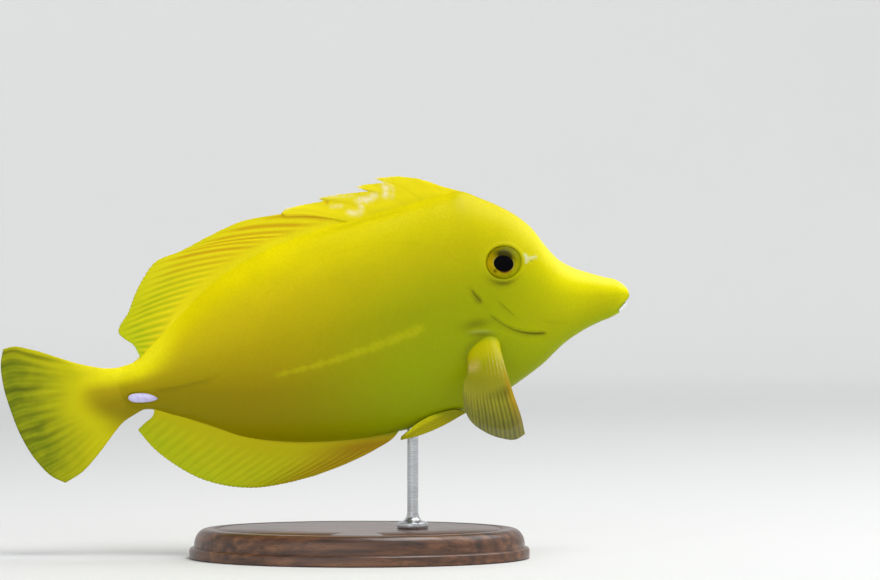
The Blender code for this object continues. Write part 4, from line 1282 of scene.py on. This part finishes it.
def make_scalpel(side, word, finish):
    """The folded scalpel: a smooth tapered blade lying in its groove."""
    middle = (np.array(SCALPEL_BACK) + SCALPEL_FRONT) / 2
    y = side * (flesh_half_width(*middle[:, None])[0] + SCALPEL_PROUD - SCALPEL_HALF[0])
    back, front = ((x, y, z) for x, z in (SCALPEL_BACK, SCALPEL_FRONT))
    along = (1 - np.cos(np.linspace(0.08, math.pi - 0.12, 44))) / 2
    thick, wide = (0.0, side * SCALPEL_HALF[0], 0.0), (0.0, 0.0, SCALPEL_HALF[1])
    points, faces = swept_bar(back, front, thick, wide, along, blade_size(along), 28)
    name, node = f"scalpel_{word}", f"tail_spine_{word}"
    turn_outwards(add_piece(name, to_world(points), faces, finish, [node]))


# ---------------- stand


def add_turned(name, node, profile, stretch, centre, finish, columns):
    """A turned piece of the stand, from radius and height pairs in metres."""
    points, faces = lathe(profile, columns)
    faces += [list(range(columns)), list(range(len(points) - columns, len(points)))]
    piece = add_piece(name, points * (*stretch, 1) + (*centre, 0), faces, finish, [node])
    turn_outwards(piece)
    piece.data.set_sharp_from_angle(angle=CREASE_ANGLE)


def wood_paint():
    """Dark walnut under satin varnish: long grain lines, pores and slow colour drift."""
    paint = Paint("stand_wood", Roughness=0.38, Coat_Weight=0.35, Coat_Roughness=0.12)
    grain = paint.noise(60.0, 6.0, paint.stretched((0.6, 9.0, 9.0)))
    pores = paint.noise(220.0, 3.0, paint.stretched((0.8, 14.0, 14.0)))
    colour = paint.ramp(grain, (0.3, 52, 30, 18), (0.5, 88, 54, 32), (0.7, 122, 80, 50))
    paint.give("Base Color", paint.mix(paint.span(pores, 0.58, 0.7, 0.0, 0.7), colour, (30, 17, 10)))
    paint.bump(pores, 0.25, 0.0002)
    return paint.material


def steel_paint():
    """Brushed stainless steel: fine lines round the rod."""
    paint = Paint("stand_steel", Metallic=1.0, Roughness=0.3)
    lines = paint.noise(180.0, 3.0, paint.stretched((2.0, 2.0, 60.0)))
    paint.give("Base Color", paint.ramp(lines, (0.3, 168, 170, 174), (0.7, 206, 208, 210)))
    paint.give("Roughness", paint.span(lines, 0.3, 0.7, 0.22, 0.36))
    paint.bump(lines, 0.12, 0.0001)
    return paint.material


def middle_and_half(low, high):
    """Centre and half size, in x and y, of a node's box."""
    return ((low.x + high.x) / 2, (low.y + high.y) / 2), ((high.x - low.x) / 2, (high.y - low.y) / 2)


def make_base():
    """An oval board with a rounded shoulder and a groove round its top."""
    low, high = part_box("stand_base")
    centre, half = middle_and_half(low, high)
    edge = [(0.985, 0.0), (1.0, 0.04), (1.0, 0.30), (0.992, 0.36), (0.972, 0.38), (0.972, 0.44)]
    edge += arc((0.90, 0.44), (0.072, 0.56), 0, 90, 12)
    edge += [(0.86, 1.0), (0.852, 0.965), (0.842, 0.955), (0.832, 0.965), (0.824, 1.0), (0.4, 1.0)]
    profile = [(radius, high.z * rise) for radius, rise in edge]
    add_turned("wooden_base", "stand_base", profile, half, centre, wood_paint(), 180)


def make_rod():
    """A rod that rises from a low flange through a fillet and ends inside the belly."""
    low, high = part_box("stand_rod")
    centre, (flange, _) = middle_and_half(low, high)
    foot, radius, into_belly = low.z, 0.0015, 0.0014
    profile = [(0.96 * flange, foot - 0.0003), (flange, foot), (flange, foot + 0.0011)]
    profile.append((0.95 * flange, foot + 0.0014))
    profile += arc((radius + 0.0021, foot + 0.0042), (0.0021, 0.0028), 270, 180, 8)
    profile.append((radius, high.z + into_belly))
    add_turned("steel_rod", "stand_rod", profile, (1, 1), centre, steel_paint(), 64)


# ---------------- studio


def studio_paint():
    """Pale matt walls that glow faintly away from the middle."""
    paint = Paint("studio", Roughness=0.9, Specular_IOR_Level=0.1)
    paint.give("Base Color", paint.mix(paint.noise(3.0), (228, 228, 226), (222, 223, 223)))
    distance = paint.node("VectorMath", {0: paint.place()}, "Value", operation="LENGTH")
    paint.give("Emission Color", (255, 255, 255))
    paint.give("Emission Strength", paint.span(distance, 0.3, 2.1, 0.0, WALL_GLOW))
    return paint.material


def make_studio():
    """A pale floor that curves up all round into a wall, and soft lights inside it."""
    flat, bend, wall, columns = 1.7, 1.0, 2.2, 96
    profile = [(0.02, 0.0), (0.4, 0.0), (1.0, 0.0)]
    profile += arc((flat, bend), (bend, bend), -90, 0, 12)
    points, faces = lathe(profile + [(flat + bend, wall)], columns)
    bowl = smooth_mesh("bowl", points, faces + [list(range(columns))], studio_paint())
    for name, (place, size, power) in LIGHTS.items():
        add_light(name, place, size, power)
    world = bpy.data.worlds.new("studio")
    world.use_nodes = True
    background = world.node_tree.nodes["Background"].inputs
    background["Color"].default_value = SKY_COLOUR
    background["Strength"].default_value = SKY_STRENGTH
    bpy.context.scene.world = world


def add_light(name, place, size, power):
    lamp = bpy.data.lights.new(name, "AREA")
    lamp.size = size
    lamp.energy = power
    light = new_object(name, lamp)
    light.location = place
    light.rotation_euler = (LIGHTS_AIM - light.location).to_track_quat("-Z", "Y").to_euler()
    light.visible_camera = False


def make_camera():
    data = bpy.data.cameras.new("camera")
    data.sensor_width = SENSOR_WIDTH
    data.lens = CAMERA_LENS
    data.clip_end = 20.0
    camera = new_object("camera", data)
    camera.location = CAMERA_PLACE
    camera.rotation_euler = (math.radians(90), 0, 0)
    bpy.context.scene.camera = camera
    bpy.context.scene.view_settings.view_transform = "Standard"


def make_fish():
    finish = flesh_paint()
    make_skin(finish)
    make_spiny_dorsal()
    make_soft_dorsal()
    make_anal()
    make_tail_fin()
    make_pectorals()
    make_pelvics()
    eye = eye_paint()
    blade = hard_paint("scalpel", (212, 208, 246), (190, 184, 230), Roughness=0.25)
    for side, word in SIDES:
        make_eye(side, word, eye)
        make_scalpel(side, word, blade)
        make_scales(side, word, finish)
    make_teeth()


make_camera()
make_studio()
make_fish()
make_base()
make_rod()
